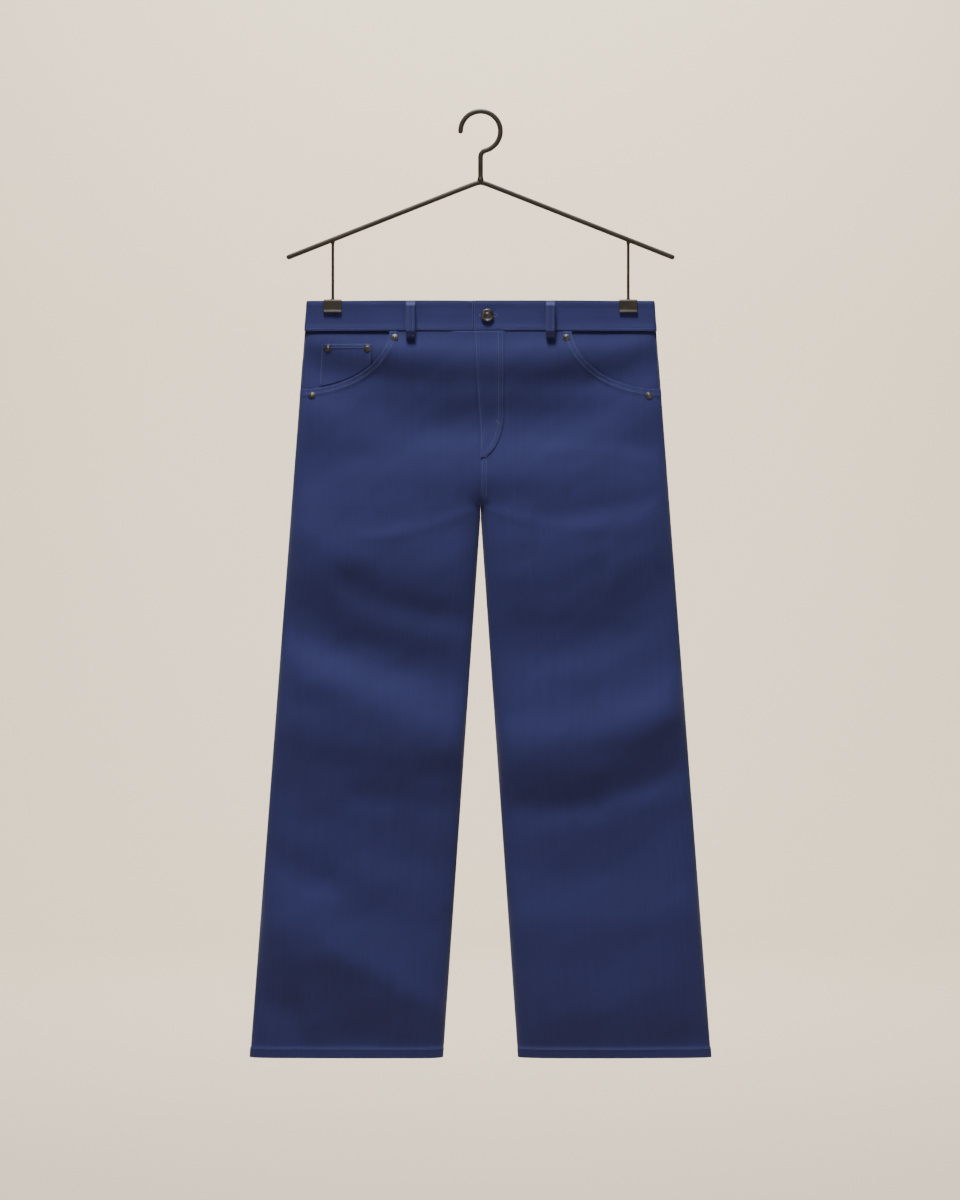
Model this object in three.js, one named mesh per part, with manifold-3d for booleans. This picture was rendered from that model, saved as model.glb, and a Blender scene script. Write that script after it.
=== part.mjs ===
// Raw denim jeans hung flat by the waistband from a bent steel rod hanger with two spring clips.
// Millimetres, +Z up. The front of the jeans faces -Y and the wearer's right is on -X.
// The origin is where a rail touches the inside of the hanger's hook.
// Each leg is a flattened tube: a section at every height runs from the side seam to the inner edge,
// and the front and back panels are walls through those sections. Whatever lies on a panel, such as
// a pocket, is made from the same surface, moved out.
import * as THREE from "three";
import { mergeVertices } from "three/addons/utils/BufferGeometryUtils.js";
import Module from "manifold-3d";

// ---- cloth ----
const GAP = 0.3; // between neighbouring pieces at a seam
const NORMAL_STEP = 0.01; // share of a section over which its slope is taken
const DENIM = 1.5; // one layer of denim
const PATCH = 1.3; // a patch pocket, facing or placket
const LIE = 0.6; // how far a patch's underside stands off the panel that it lies on
const HEM_RISE = 0.9; // what the turned hem adds to the outside
const HEM_HEIGHT = 14;

// ---- outline, as laid flat ----
const WAIST_Z = -247;
const BAND_HEIGHT = 40;
const CROTCH_Z = -521;
const HEM_Z = -1245;
const WAIST_HALF = 229; // half of the flat waist
const HEM_OUTER = 304; // side seam at the hem, from the centre line
const HEM_INNER = 50; // inseam at the hem, from the centre line
const SEAM_RADIUS = 8.5; // how the cloth rounds over at a side seam or inseam

// ---- waistband ----
const BAND_WALL = 3;
const BAND_PROUD = 0.8; // how far the band stands out from the panels below it
const LAP_EDGE_X = -8; // free edge of the upper end
const UNDER_EDGE_X = 26; // free edge of the end that lies underneath
const LAP_GAP = 0.4;

// ---- hanger ----
const ROD = 3.3; // radius of the hanger's rod
const HOOK_RADIUS = 26.3; // to the rod's middle
const HOOK_BEND = 9; // radius of the reverse bend into the stem
const ARM_TOP_Z = -90;
const ARM_END = { x: 253, z: -190 };
const CLIP_X = 195;
const CLIP_WIDTH = 24;
const CLIP_GRIP = 16; // how far the clip reaches down over the waistband
const CLIP_STRIP = 1.6;
const CLIP_ROD = 1.9; // radius of the rod between an arm and its clip
const PINCHED_HALF = 4.2; // half depth of the garment inside a clip
const PINCH_SPREAD = 75; // how far beside a clip the cloth is drawn in
const PINCH_DROP = 110; // and how far below it

// Half depth of the garment at its fullest, at each height, front and back.
const DEPTHS = [
  { z: WAIST_Z, front: 9.5, back: 10.5 },
  { z: WAIST_Z - BAND_HEIGHT, front: 11, back: 13 },
  { z: -370, front: 16, back: 21 },
  { z: -450, front: 19, back: 25 },
  { z: CROTCH_Z, front: 21, back: 24.5 },
  { z: -640, front: 22.5, back: 24 },
  { z: -800, front: 21.5, back: 22.5 },
  { z: -1000, front: 20, back: 21 },
  { z: HEM_Z, front: 18, back: 18.5 },
];

// The drape's folds, a row each: the crest runs from (x0, z0) to (x1, z1), bowed by bow at its middle,
// with half widths w0 and w1 at its ends, and stands out by height, or lies in where that is negative.
const FRONT_FOLDS = [
  { x0: -234, z0: -280, x1: 233, z1: -285, bow: -61, w0: 26, w1: 26, height: 3 },
  { x0: -241, z0: -335, x1: 240, z1: -335, bow: -71, w0: 40, w1: 40, height: -7 },
  { x0: -244, z0: -549, x1: 258, z1: -505, bow: -62, w0: 44, w1: 50, height: 5.5 },
  { x0: -259, z0: -589, x1: -80, z1: -642, bow: -8, w0: 28, w1: 28, height: 2.5 },
  { x0: -257, z0: -650, x1: 261, z1: -631, bow: -80, w0: 40, w1: 46, height: -5.5 },
  { x0: -259, z0: -726, x1: -24, z1: -829, bow: -4, w0: 42, w1: 36, height: 7.5 },
  { x0: 20, z0: -850, x1: 267, z1: -768, bow: -44, w0: 56, w1: 44, height: 9 },
  { x0: -270, z0: -906, x1: -40, z1: -988, bow: -9, w0: 50, w1: 54, height: -4 },
  { x0: 31, z0: -985, x1: 276, z1: -914, bow: -41, w0: 48, w1: 44, height: -3 },
  { x0: -288, z0: -1067, x1: -59, z1: -1183, bow: -5, w0: 58, w1: 62, height: 9.5 },
  { x0: 42, z0: -1151, x1: 296, z1: -1091, bow: -49, w0: 80, w1: 84, height: 8 },
];
const BACK_FOLDS = [
  { x0: -236, z0: -345, x1: 236, z1: -352, bow: -50, w0: 36, w1: 40, height: -4 },
  { x0: -245, z0: -470, x1: 245, z1: -480, bow: -40, w0: 50, w1: 46, height: 4.5 },
  { x0: -260, z0: -560, x1: 262, z1: -585, bow: -75, w0: 40, w1: 44, height: -4 },
  { x0: -266, z0: -700, x1: -22, z1: -770, bow: -14, w0: 52, w1: 40, height: 6 },
  { x0: 14, z0: -760, x1: 266, z1: -672, bow: -16, w0: 40, w1: 38, height: 7 },
  { x0: -276, z0: -810, x1: -30, z1: -868, bow: -10, w0: 44, w1: 48, height: -4 },
  { x0: 24, z0: -875, x1: 282, z1: -812, bow: -22, w0: 46, w1: 44, height: -4 },
  { x0: -288, z0: -975, x1: -40, z1: -1040, bow: -26, w0: 66, w1: 60, height: 6.5 },
  { x0: 34, z0: -1050, x1: 292, z1: -962, bow: -8, w0: 60, w1: 54, height: 8 },
  { x0: -298, z0: -1120, x1: -46, z1: -1165, bow: -18, w0: 50, w1: 56, height: -3 },
  { x0: 60, z0: -1180, x1: 300, z1: -1105, bow: -10, w0: 40, w1: 44, height: -3 },
];
const FOLD_FADE = 0.25; // share of a fold's run over which each end dies away
const FOLD_START = { above: 14, run: 40 }; // the folds grow in from just above the band's lower edge

// ---- pieces on the panels ----
const MOUTH = { wide: 112, deep: 76 }; // pocket mouth: a quarter ellipse in the upper outer corner
const FACING = { columns: 7, rows: 6 }; // of the panel's, that the facing behind a mouth takes up
const COIN = { fromSide: 24, wide: 66, below: 17 };
const FLY = { wide: 40, deep: 168, curve: 62 };
const YOKE = { side: 38, centre: 72 };
const BACK_POCKET = { x: 112, top: -369, tilt: 0.08, half: 75, taper: 9, tall: 128, point: 22 };
const BUTTON = { x: 9, z: WAIST_Z - 20, radius: 8.5 };
const RIVET_RADIUS = 4.6;
const LOOP = { half: 6, wall: 2, stand: 7.6, top: WAIST_Z - 1, bottom: WAIST_Z - BAND_HEIGHT - 10 };
const LOOPS = [
  { name: "front_right", x: -92, face: -1 },
  { name: "front_left", x: 92, face: -1 },
  { name: "back_right", x: -148, face: 1 },
  { name: "back_left", x: 148, face: 1 },
  { name: "centre_back", x: 0, face: 1 },
];

const PANEL_TOP = WAIST_Z - BAND_HEIGHT - GAP;
const FRONT = -1;
const BACK = 1;
const SIDES = [
  { name: "right", sign: -1 },
  { name: "left", sign: 1 },
];

const material = (color, roughness, metalness) =>
  new THREE.MeshStandardMaterial({ color, roughness, metalness });
const DENIM_FINISH = material(0x2a3358, 0.85, 0);
const STEEL_FINISH = material(0x2a261e, 0.5, 0.6);
const TRIM_FINISH = material(0x2e2b2b, 0.4, 0.8);

const mix = (a, b, t) => a + (b - a) * t;
const smooth = (t) => {
  const c = Math.min(1, Math.max(0, t));
  return c * c * (3 - 2 * c);
};
const steps = (count) => Array.from({ length: count + 1 }, (_, i) => i / count);

// ---- the garment's surface ----

// Half depth at height z, by a smooth curve through the rows of DEPTHS.
function fullDepth(z, face) {
  const column = face === FRONT ? "front" : "back";
  const last = DEPTHS.length - 1;
  let row = DEPTHS.findIndex((d) => z >= d.z) - 1;
  if (row < 0) row = z >= WAIST_Z ? 0 : last - 1;
  const value = (i) => DEPTHS[Math.min(last, Math.max(0, i))][column];
  const t = (DEPTHS[row].z - z) / (DEPTHS[row].z - DEPTHS[row + 1].z);
  const [p, a, b, q] = [value(row - 1), value(row), value(row + 1), value(row + 2)];
  const bend = (2 * p - 5 * a + 4 * b - q) * t * t + (3 * a - 3 * b + q - p) * t * t * t;
  return a + 0.5 * ((b - p) * t + bend);
}

// How far the folds move the cloth out at (x, z). The stiff waistband takes none of them.
function foldRise(x, z, face) {
  let rise = 0;
  for (const f of face === FRONT ? FRONT_FOLDS : BACK_FOLDS) {
    const along = (x - f.x0) / (f.x1 - f.x0);
    const crest = mix(f.z0, f.z1, along) + 4 * f.bow * along * (1 - along);
    const across = (z - crest) / mix(f.w0, f.w1, Math.min(1, Math.max(0, along)));
    const ends = smooth(1 + along / FOLD_FADE) * smooth(1 + (1 - along) / FOLD_FADE);
    rise += f.height * Math.exp(-across * across) * ends;
  }
  return rise * smooth((PANEL_TOP + FOLD_START.above - z) / FOLD_START.run);
}

// The outline at height z, from the centre line. In the trunk the inner edge is the centre seam.
function sectionAt(z) {
  const drop = (WAIST_Z - z) / (WAIST_Z - HEM_Z);
  const below = (CROTCH_Z - z) / (CROTCH_Z - HEM_Z);
  return { outer: mix(WAIST_HALF, HEM_OUTER, drop), inner: Math.max(0, HEM_INNER * below) };
}

// Distance of the cloth's outer face from the middle plane at (x, z). It rounds over to nothing
// at the side seam, at the inseam and towards the crotch point.
function depthAt(x, z, face) {
  const { outer, inner } = sectionAt(z);
  const full = fullDepth(z, face);
  const round = (edge) => Math.tanh(Math.sqrt(2 * SEAM_RADIUS * Math.max(0, edge)) / full);
  const fromInner = z < CROTCH_Z ? Math.abs(x) - inner : Math.hypot(x, z - CROTCH_Z);
  const depth = (full + foldRise(x, z, face)) * round(outer - Math.abs(x)) * round(fromInner);
  const beside = 1 - smooth((Math.abs(Math.abs(x) - CLIP_X) - CLIP_WIDTH / 2 - 2) / PINCH_SPREAD);
  const below = 1 - smooth((WAIST_Z - CLIP_GRIP - 2 - z) / PINCH_DROP);
  const pinched = PINCHED_HALF / (full * round(outer - CLIP_X));
  return depth * mix(1, pinched, beside * below);
}

// A point of a panel: turn runs from 0 at the side seam to 1 at the inner edge, and raise moves it
// out square to the section.
function panelPoint(side, face, turn, z, raise = 0) {
  const { outer, inner } = sectionAt(z);
  const at = (t) => {
    const x = mix(outer, Math.max(inner, GAP / 2), (1 - Math.cos(Math.PI * t)) / 2);
    return [x, GAP / 2 + depthAt(side * x, z, face)];
  };
  const [x, y] = at(turn);
  const [xa, ya] = at(Math.max(0, turn - NORMAL_STEP));
  const [xb, yb] = at(Math.min(1, turn + NORMAL_STEP));
  const length = Math.hypot(xb - xa, yb - ya);
  const outX = (yb - ya) / length;
  const outY = (xa - xb) / length;
  const clearOfMiddle = Math.max(GAP / 2, y + raise * outY);
  return new THREE.Vector3(side * (x + raise * outX), face * clearOfMiddle, z);
}

// The way out of the cloth at (x, z) on the front or the back.
function wayOut(face, x, z) {
  const step = 1;
  const slopeX = (depthAt(x + step, z, face) - depthAt(x - step, z, face)) / (2 * step);
  const slopeZ = (depthAt(x, z + step, face) - depthAt(x, z - step, face)) / (2 * step);
  return new THREE.Vector3(-slopeX, face, -slopeZ).normalize();
}

// A point over the front or back at (x, z), moved out square to the cloth.
function facePoint(face, x, z, raise) {
  const foot = new THREE.Vector3(x, face * (GAP / 2 + depthAt(x, z, face)), z);
  return foot.addScaledVector(wayOut(face, x, z), raise);
}

// ---- solids ----

// Turns a geometry's triangles round if they face inwards.
function facingOut(geometry) {
  const p = geometry.getAttribute("position");
  const index = geometry.index.array;
  const corner = [new THREE.Vector3(), new THREE.Vector3(), new THREE.Vector3()];
  let volume = 0;
  for (let i = 0; i < index.length; i += 3) {
    corner.forEach((c, k) => c.fromBufferAttribute(p, index[i + k]));
    volume += corner[0].dot(corner[1].cross(corner[2]));
  }
  if (volume < 0)
    for (let i = 0; i < index.length; i += 3)
      [index[i + 1], index[i + 2]] = [index[i + 2], index[i + 1]];
  geometry.computeVertexNormals();
  return geometry;
}

// A closed wall between two grids of points. outside(u, v) and inside(u, v) give the points
// at each pair of the columns' and rows' values.
function wall(columns, rows, outside, inside) {
  const wide = columns.length;
  const tall = rows.length;
  const at = (layer, i, j) => (layer * tall + j) * wide + i;
  const points = [outside, inside].flatMap((f) => rows.flatMap((v) => columns.map((u) => f(u, v))));
  const index = [];
  const quad = (a, b, c, d) => index.push(a, b, c, a, c, d);
  for (let j = 0; j < tall - 1; j++)
    for (let i = 0; i < wide - 1; i++) {
      quad(at(0, i, j), at(0, i + 1, j), at(0, i + 1, j + 1), at(0, i, j + 1));
      quad(at(1, i, j), at(1, i, j + 1), at(1, i + 1, j + 1), at(1, i + 1, j));
    }
  for (let i = 0; i < wide - 1; i++) {
    quad(at(0, i + 1, 0), at(0, i, 0), at(1, i, 0), at(1, i + 1, 0));
    quad(at(0, i, tall - 1), at(0, i + 1, tall - 1), at(1, i + 1, tall - 1), at(1, i, tall - 1));
  }
  for (let j = 0; j < tall - 1; j++) {
    quad(at(0, 0, j), at(0, 0, j + 1), at(1, 0, j + 1), at(1, 0, j));
    quad(at(0, wide - 1, j + 1), at(0, wide - 1, j), at(1, wide - 1, j), at(1, wide - 1, j + 1));
  }
  const geometry = new THREE.BufferGeometry().setFromPoints(points);
  geometry.setIndex(index);
  return facingOut(geometry);
}

const wasm = await Module();
wasm.setup();

// The geometry with its shared vertices merged, and nothing but their positions kept.
function merged(geometry) {
  geometry.deleteAttribute("normal");
  geometry.deleteAttribute("uv");
  return mergeVertices(geometry, 1e-3);
}

function solidOf(geometry) {
  const shared = merged(geometry);
  const vertProperties = new Float32Array(shared.getAttribute("position").array);
  const triVerts = new Uint32Array(shared.index.array);
  return new wasm.Manifold(new wasm.Mesh({ numProp: 3, vertProperties, triVerts }));
}

function geometryOf(solid) {
  const { vertProperties, triVerts } = solid.getMesh();
  const geometry = new THREE.BufferGeometry();
  geometry.setAttribute("position", new THREE.BufferAttribute(vertProperties, 3));
  geometry.setIndex(new THREE.BufferAttribute(triVerts, 1));
  geometry.computeVertexNormals();
  return geometry;
}

const jeans = new THREE.Group();

function place(name, geometry, finish) {
  const mesh = new THREE.Mesh(geometry, finish);
  mesh.name = name;
  jeans.add(mesh);
  return mesh;
}

// ---- panels ----

// A panel's grid: even rows in the trunk, closer ones down to the crotch point, even ones in the leg.
const COLUMNS = steps(13);
const TRUNK_ROWS = 12;
const CROTCH_ROWS = 4;
const LEG_ROWS = 26;
const TRUNK_END = CROTCH_Z + 34;
const HEM_STEP = 0.8; // height of the step where the turned hem begins

function heightsBelowTrunk() {
  const closing = steps(CROTCH_ROWS).map((t) => {
    return mix(TRUNK_END, CROTCH_Z, Math.sin((t * Math.PI) / 2));
  });
  const hemTop = HEM_Z + HEM_HEIGHT;
  const leg = steps(LEG_ROWS).map((t) => mix(CROTCH_Z, hemTop, t));
  return [...closing, ...leg.slice(1), hemTop - HEM_STEP, HEM_Z];
}

// A leg panel from top(x) to the hem. Its hem is turned, so it is thicker on the outside.
function legPanel(side, face, top) {
  const rows = [
    ...steps(TRUNK_ROWS).slice(0, -1).map((share) => ({ share })),
    ...heightsBelowTrunk().map((z) => ({ z })),
  ];
  const height = (turn, row) => {
    if (row.z !== undefined) return row.z;
    const start = top(Math.abs(panelPoint(side, face, turn, PANEL_TOP).x));
    return mix(start, TRUNK_END, row.share);
  };
  const hem = (row) => (row.z !== undefined && row.z < HEM_Z + HEM_HEIGHT ? HEM_RISE : 0);
  return wall(
    COLUMNS,
    rows,
    (turn, row) => panelPoint(side, face, turn, height(turn, row), hem(row)),
    (turn, row) => panelPoint(side, face, turn, height(turn, row), -DENIM),
  );
}

const trunkHeights = steps(TRUNK_ROWS).map((t) => mix(PANEL_TOP, TRUNK_END, t));

const CUTTER_DEPTH = 70; // more than the garment's half depth
// A pocket mouth's cutter: an ellipse about the upper outer corner, made smaller by less.
function mouthCutter(side, less = 0) {
  const outline = new THREE.Shape();
  outline.absellipse(0, 0, MOUTH.wide - less, MOUTH.deep - less, 0, 2 * Math.PI);
  const cutter = new THREE.ExtrudeGeometry(outline, {
    depth: CUTTER_DEPTH,
    bevelEnabled: false,
    curveSegments: 16,
  });
  cutter.rotateX(Math.PI / 2);
  cutter.translate(side * sectionAt(PANEL_TOP).outer, GAP / 2, PANEL_TOP);
  return solidOf(cutter);
}

for (const { name, sign } of SIDES) {
  const whole = solidOf(legPanel(sign, FRONT, () => PANEL_TOP));
  place("front_" + name, geometryOf(whole.subtract(mouthCutter(sign))), DENIM_FINISH);

  // The facing follows the panel's own columns and rows, one layer further in.
  const inward = -(DENIM + GAP);
  const facing = wall(
    COLUMNS.slice(0, FACING.columns + 1),
    trunkHeights.slice(0, FACING.rows + 1),
    (turn, z) => panelPoint(sign, FRONT, turn, z, inward),
    (turn, z) => panelPoint(sign, FRONT, turn, z, inward - PATCH),
  );
  place("pocket_facing_" + name, facing, DENIM_FINISH);
}

const YOKE_SLOPE = (YOKE.centre - YOKE.side) / WAIST_HALF;
const yokeSeam = (x) => PANEL_TOP - YOKE.centre + YOKE_SLOPE * x;

for (const { name, sign } of SIDES) {
  const back = legPanel(sign, BACK, (x) => yokeSeam(x) - GAP);
  place("back_" + name, back, DENIM_FINISH);
  const height = (turn, share) => {
    return mix(PANEL_TOP, yokeSeam(Math.abs(panelPoint(sign, BACK, turn, PANEL_TOP).x)), share);
  };
  const yoke = wall(
    COLUMNS,
    steps(3),
    (turn, share) => panelPoint(sign, BACK, turn, height(turn, share)),
    (turn, share) => panelPoint(sign, BACK, turn, height(turn, share), -DENIM),
  );
  place("yoke_" + name, yoke, DENIM_FINISH);
}

// ---- waistband ----

// The band's ring, by angle: 0 at the wearer's left side seam, then the back, the right side seam
// and the front. The under end drops inwards by the lap.
const CENTRE_FRONT = 1.5 * Math.PI;
const BAND_START = CENTRE_FRONT + Math.asin(UNDER_EDGE_X / WAIST_HALF);
const BAND_END = -0.5 * Math.PI + Math.asin(LAP_EDGE_X / WAIST_HALF);
const DIP_START = CENTRE_FRONT - 0.18;
const DIP_RUN = 0.13;

function bandPoint(angle, z, raise) {
  const { outer } = sectionAt(z);
  const at = (a) => {
    const x = outer * Math.cos(a);
    return [x, Math.sin(a) < 0 ? -depthAt(x, z, FRONT) : depthAt(x, z, BACK)];
  };
  const [x, y] = at(angle);
  const [xa, ya] = at(angle - NORMAL_STEP);
  const [xb, yb] = at(angle + NORMAL_STEP);
  const length = Math.hypot(xb - xa, yb - ya);
  const dip = (BAND_WALL + LAP_GAP) * smooth((angle - DIP_START) / DIP_RUN);
  const out = raise - dip;
  return new THREE.Vector3(x + (out * (yb - ya)) / length, y - (out * (xb - xa)) / length, z);
}

const bandRows = [WAIST_Z, WAIST_Z - BAND_HEIGHT / 2, WAIST_Z - BAND_HEIGHT];
const bandColumns = steps(56).map((t) => mix(BAND_START, BAND_END, t));
const band = wall(
  bandColumns,
  bandRows,
  (angle, z) => bandPoint(angle, z, BAND_PROUD),
  (angle, z) => bandPoint(angle, z, BAND_PROUD - BAND_WALL),
);
place("waistband", band, DENIM_FINISH);

// ---- fly, pockets ----

// The placket hangs from the waistband, lapped over the centre seam, and curves in to it below.
function flyPoint(across, down, raise) {
  const z = PANEL_TOP - down * FLY.deep;
  const straight = FLY.deep - FLY.curve;
  const bend = Math.max(0, (down * FLY.deep - straight) / FLY.curve);
  const edge = mix(LAP_EDGE_X, 0, smooth(down));
  const far = LAP_EDGE_X + FLY.wide;
  const outerEdge = mix(edge, far, Math.sqrt(Math.max(0, 1 - bend * bend)));
  return facePoint(FRONT, mix(edge, outerEdge, across), z, raise);
}
const flyRows = [...steps(7).map((t) => t * 0.7), 0.78, 0.85, 0.92, 0.97, 0.995];
const fly = wall(
  steps(3),
  flyRows,
  (across, down) => flyPoint(across, down, LIE + PATCH),
  (across, down) => flyPoint(across, down, LIE),
);
place("fly", fly, DENIM_FINISH);

// The coin pocket lies on the right facing, on the panel's own columns and rows, and shows only in
// the mouth, so it is trimmed just inside the mouth's edge.
const between = (values, from, to) => {
  const low = Math.min(from, to);
  const high = Math.max(from, to);
  return [from, ...values.filter((v) => v > low && v < high), to];
};
const sideX = sectionAt(PANEL_TOP).outer;
const turnAt = (fromSide) => Math.acos(1 - (2 * fromSide) / sideX) / Math.PI;
const coinTop = PANEL_TOP - COIN.below;
const coinPatch = wall(
  between(COLUMNS, turnAt(COIN.fromSide), turnAt(COIN.fromSide + COIN.wide)),
  between(trunkHeights, coinTop, PANEL_TOP - MOUTH.deep),
  (turn, z) => panelPoint(-1, FRONT, turn, z, PATCH - DENIM),
  (turn, z) => panelPoint(-1, FRONT, turn, z, -DENIM),
);
const coinPocket = solidOf(coinPatch).intersect(mouthCutter(-1, GAP + 0.1));
place("coin_pocket", geometryOf(coinPocket), DENIM_FINISH);

// A five-sided patch: across runs from -1 at its left to 1 at its right, down from 0 to 1.
function backPocketPoint(side, across, down, raise) {
  const x = side * BACK_POCKET.x + across * (BACK_POCKET.half - BACK_POCKET.taper * down);
  const top = BACK_POCKET.top + BACK_POCKET.tilt * (Math.abs(x) - BACK_POCKET.x);
  const length = BACK_POCKET.tall + BACK_POCKET.point * (1 - Math.abs(across));
  return facePoint(BACK, x, top - down * length, raise);
}
for (const { name, sign } of SIDES) {
  const pocket = wall(
    steps(10).map((t) => 2 * t - 1),
    steps(12),
    (across, down) => backPocketPoint(sign, across, down, LIE + PATCH),
    (across, down) => backPocketPoint(sign, across, down, LIE),
  );
  place("back_pocket_" + name, pocket, DENIM_FINISH);
}

// ---- belt loops ----

// A strip that lies on the band at both ends and stands off it between them.
for (const { name, x, face } of LOOPS) {
  const offset = (down) => {
    return BAND_PROUD + GAP + LOOP.stand * smooth(down / 0.15) * smooth((1 - down) / 0.15);
  };
  const point = (across, down, raise) => {
    return facePoint(face, x + across * LOOP.half, mix(LOOP.top, LOOP.bottom, down), raise);
  };
  const loop = wall(
    [-1, 1],
    [0, 0.05, 0.1, 0.15, 0.5, 0.85, 0.9, 0.95, 1],
    (across, down) => point(across, down, offset(down) + LOOP.wall),
    (across, down) => point(across, down, offset(down)),
  );
  place("belt_loop_" + name, loop, DENIM_FINISH);
}

// ---- button and rivets ----

// A turned piece standing on the cloth at (x, z), from its profile of (radius, height) pairs.
function stud(name, profile, sides, x, z, raise) {
  const points = profile.map(([radius, height]) => new THREE.Vector2(radius, height));
  const turned = merged(new THREE.LatheGeometry(points, sides));
  const mesh = place(name, facingOut(turned), TRIM_FINISH);
  mesh.quaternion.setFromUnitVectors(new THREE.Vector3(0, 1, 0), wayOut(FRONT, x, z));
  mesh.position.copy(facePoint(FRONT, x, z, raise));
}

const buttonProfile = [
  [0, 0],
  [4, 0],
  [4, 1.6],
  [BUTTON.radius - 0.6, 1.6],
  [BUTTON.radius, 2.4],
  [BUTTON.radius - 0.5, 3.6],
  [BUTTON.radius - 2, 3.9],
  [BUTTON.radius - 3, 3.4],
  [0, 3.6],
];
stud("waist_button", buttonProfile, 20, BUTTON.x, BUTTON.z, BAND_PROUD + GAP);

const rivetProfile = [
  [0, 0],
  [RIVET_RADIUS, 0],
  [RIVET_RADIUS - 0.5, 0.9],
  [1.8, 1.3],
  [0, 1.7],
];
const coinOuter = -(sideX - COIN.fromSide);
const RIVETS = [
  { name: "mouth_top_right", x: -(sideX - MOUTH.wide - 7), z: PANEL_TOP - 9, raise: LIE },
  { name: "mouth_top_left", x: sideX - MOUTH.wide - 7, z: PANEL_TOP - 9, raise: LIE },
  { name: "mouth_side_right", x: -(sideX - 10), z: PANEL_TOP - MOUTH.deep - 9, raise: LIE },
  { name: "mouth_side_left", x: sideX - 10, z: PANEL_TOP - MOUTH.deep - 9, raise: LIE },
  { name: "coin_outer", x: coinOuter + 7, z: coinTop - 6, raise: PATCH - DENIM + LIE },
  { name: "coin_inner", x: coinOuter + COIN.wide - 7, z: coinTop - 6, raise: PATCH - DENIM + LIE },
];
for (const { name, x, z, raise } of RIVETS) stud("rivet_" + name, rivetProfile, 12, x, z, raise);

// ---- hanger ----

const ARM_SLOPE = (ARM_END.z - ARM_TOP_Z) / ARM_END.x;
const armZ = (x) => ARM_TOP_Z + ARM_SLOPE * x;

// The hook's line: three quarters of a ring, a small reverse bend, and the stem.
class HookLine extends THREE.Curve {
  constructor() {
    super();
    this.centreZ = -(HOOK_RADIUS - ROD);
    this.turnAt = Math.acos(HOOK_BEND / (HOOK_RADIUS + HOOK_BEND));
    this.ring = Math.PI + this.turnAt;
    this.bend = this.turnAt;
    this.bendZ = this.centreZ - (HOOK_RADIUS + HOOK_BEND) * Math.sin(this.turnAt);
    this.stem = this.bendZ - (ARM_TOP_Z + ROD * Math.hypot(1, ARM_SLOPE) + GAP);
    this.lengths = [this.ring * HOOK_RADIUS, this.bend * HOOK_BEND, this.stem];
  }
  getPoint(t, target = new THREE.Vector3()) {
    const [ring, bend, stem] = this.lengths;
    let run = t * (ring + bend + stem);
    if (run < ring) {
      const angle = Math.PI - run / HOOK_RADIUS;
      return target.set(HOOK_RADIUS * Math.cos(angle), 0, this.centreZ + HOOK_RADIUS * Math.sin(angle));
    }
    run -= ring;
    if (run < bend) {
      const angle = Math.PI - this.turnAt + run / HOOK_BEND;
      return target.set(HOOK_BEND + HOOK_BEND * Math.cos(angle), 0, this.bendZ + HOOK_BEND * Math.sin(angle));
    }
    return target.set(0, 0, this.bendZ - (run - bend));
  }
}

const rodSection = new THREE.Shape().absarc(0, 0, ROD, 0, 2 * Math.PI);
const hook = new THREE.ExtrudeGeometry(rodSection, {
  steps: 32,
  curveSegments: 5,
  extrudePath: new HookLine(),
});
place("hanger_hook", facingOut(merged(hook)), STEEL_FINISH);

// A round rod between two points.
function rod(from, to, radius) {
  const along = new THREE.Vector3().subVectors(to, from);
  const geometry = new THREE.CylinderGeometry(radius, radius, along.length(), 12);
  geometry.translate(0, along.length() / 2, 0);
  const up = new THREE.Vector3(0, 1, 0);
  geometry.applyQuaternion(new THREE.Quaternion().setFromUnitVectors(up, along.normalize()));
  geometry.translate(from.x, from.y, from.z);
  return merged(geometry);
}

const clipTop = WAIST_Z + GAP + CLIP_STRIP;

// A strip folded over the top of the waistband, its two leaves on the front and the back.
function clipShape() {
  const inner = PINCHED_HALF + BAND_PROUD + 2 * GAP;
  const outer = inner + CLIP_STRIP;
  const low = WAIST_Z - CLIP_GRIP;
  const shape = new THREE.Shape();
  shape.moveTo(-outer, low);
  shape.lineTo(-inner, low);
  shape.lineTo(-inner, WAIST_Z + GAP);
  shape.lineTo(inner, WAIST_Z + GAP);
  shape.lineTo(inner, low);
  shape.lineTo(outer, low);
  shape.lineTo(outer, clipTop - 2);
  shape.quadraticCurveTo(outer, clipTop, outer - 2, clipTop);
  shape.lineTo(2 - outer, clipTop);
  shape.quadraticCurveTo(-outer, clipTop, -outer, clipTop - 2);
  return shape;
}

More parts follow.
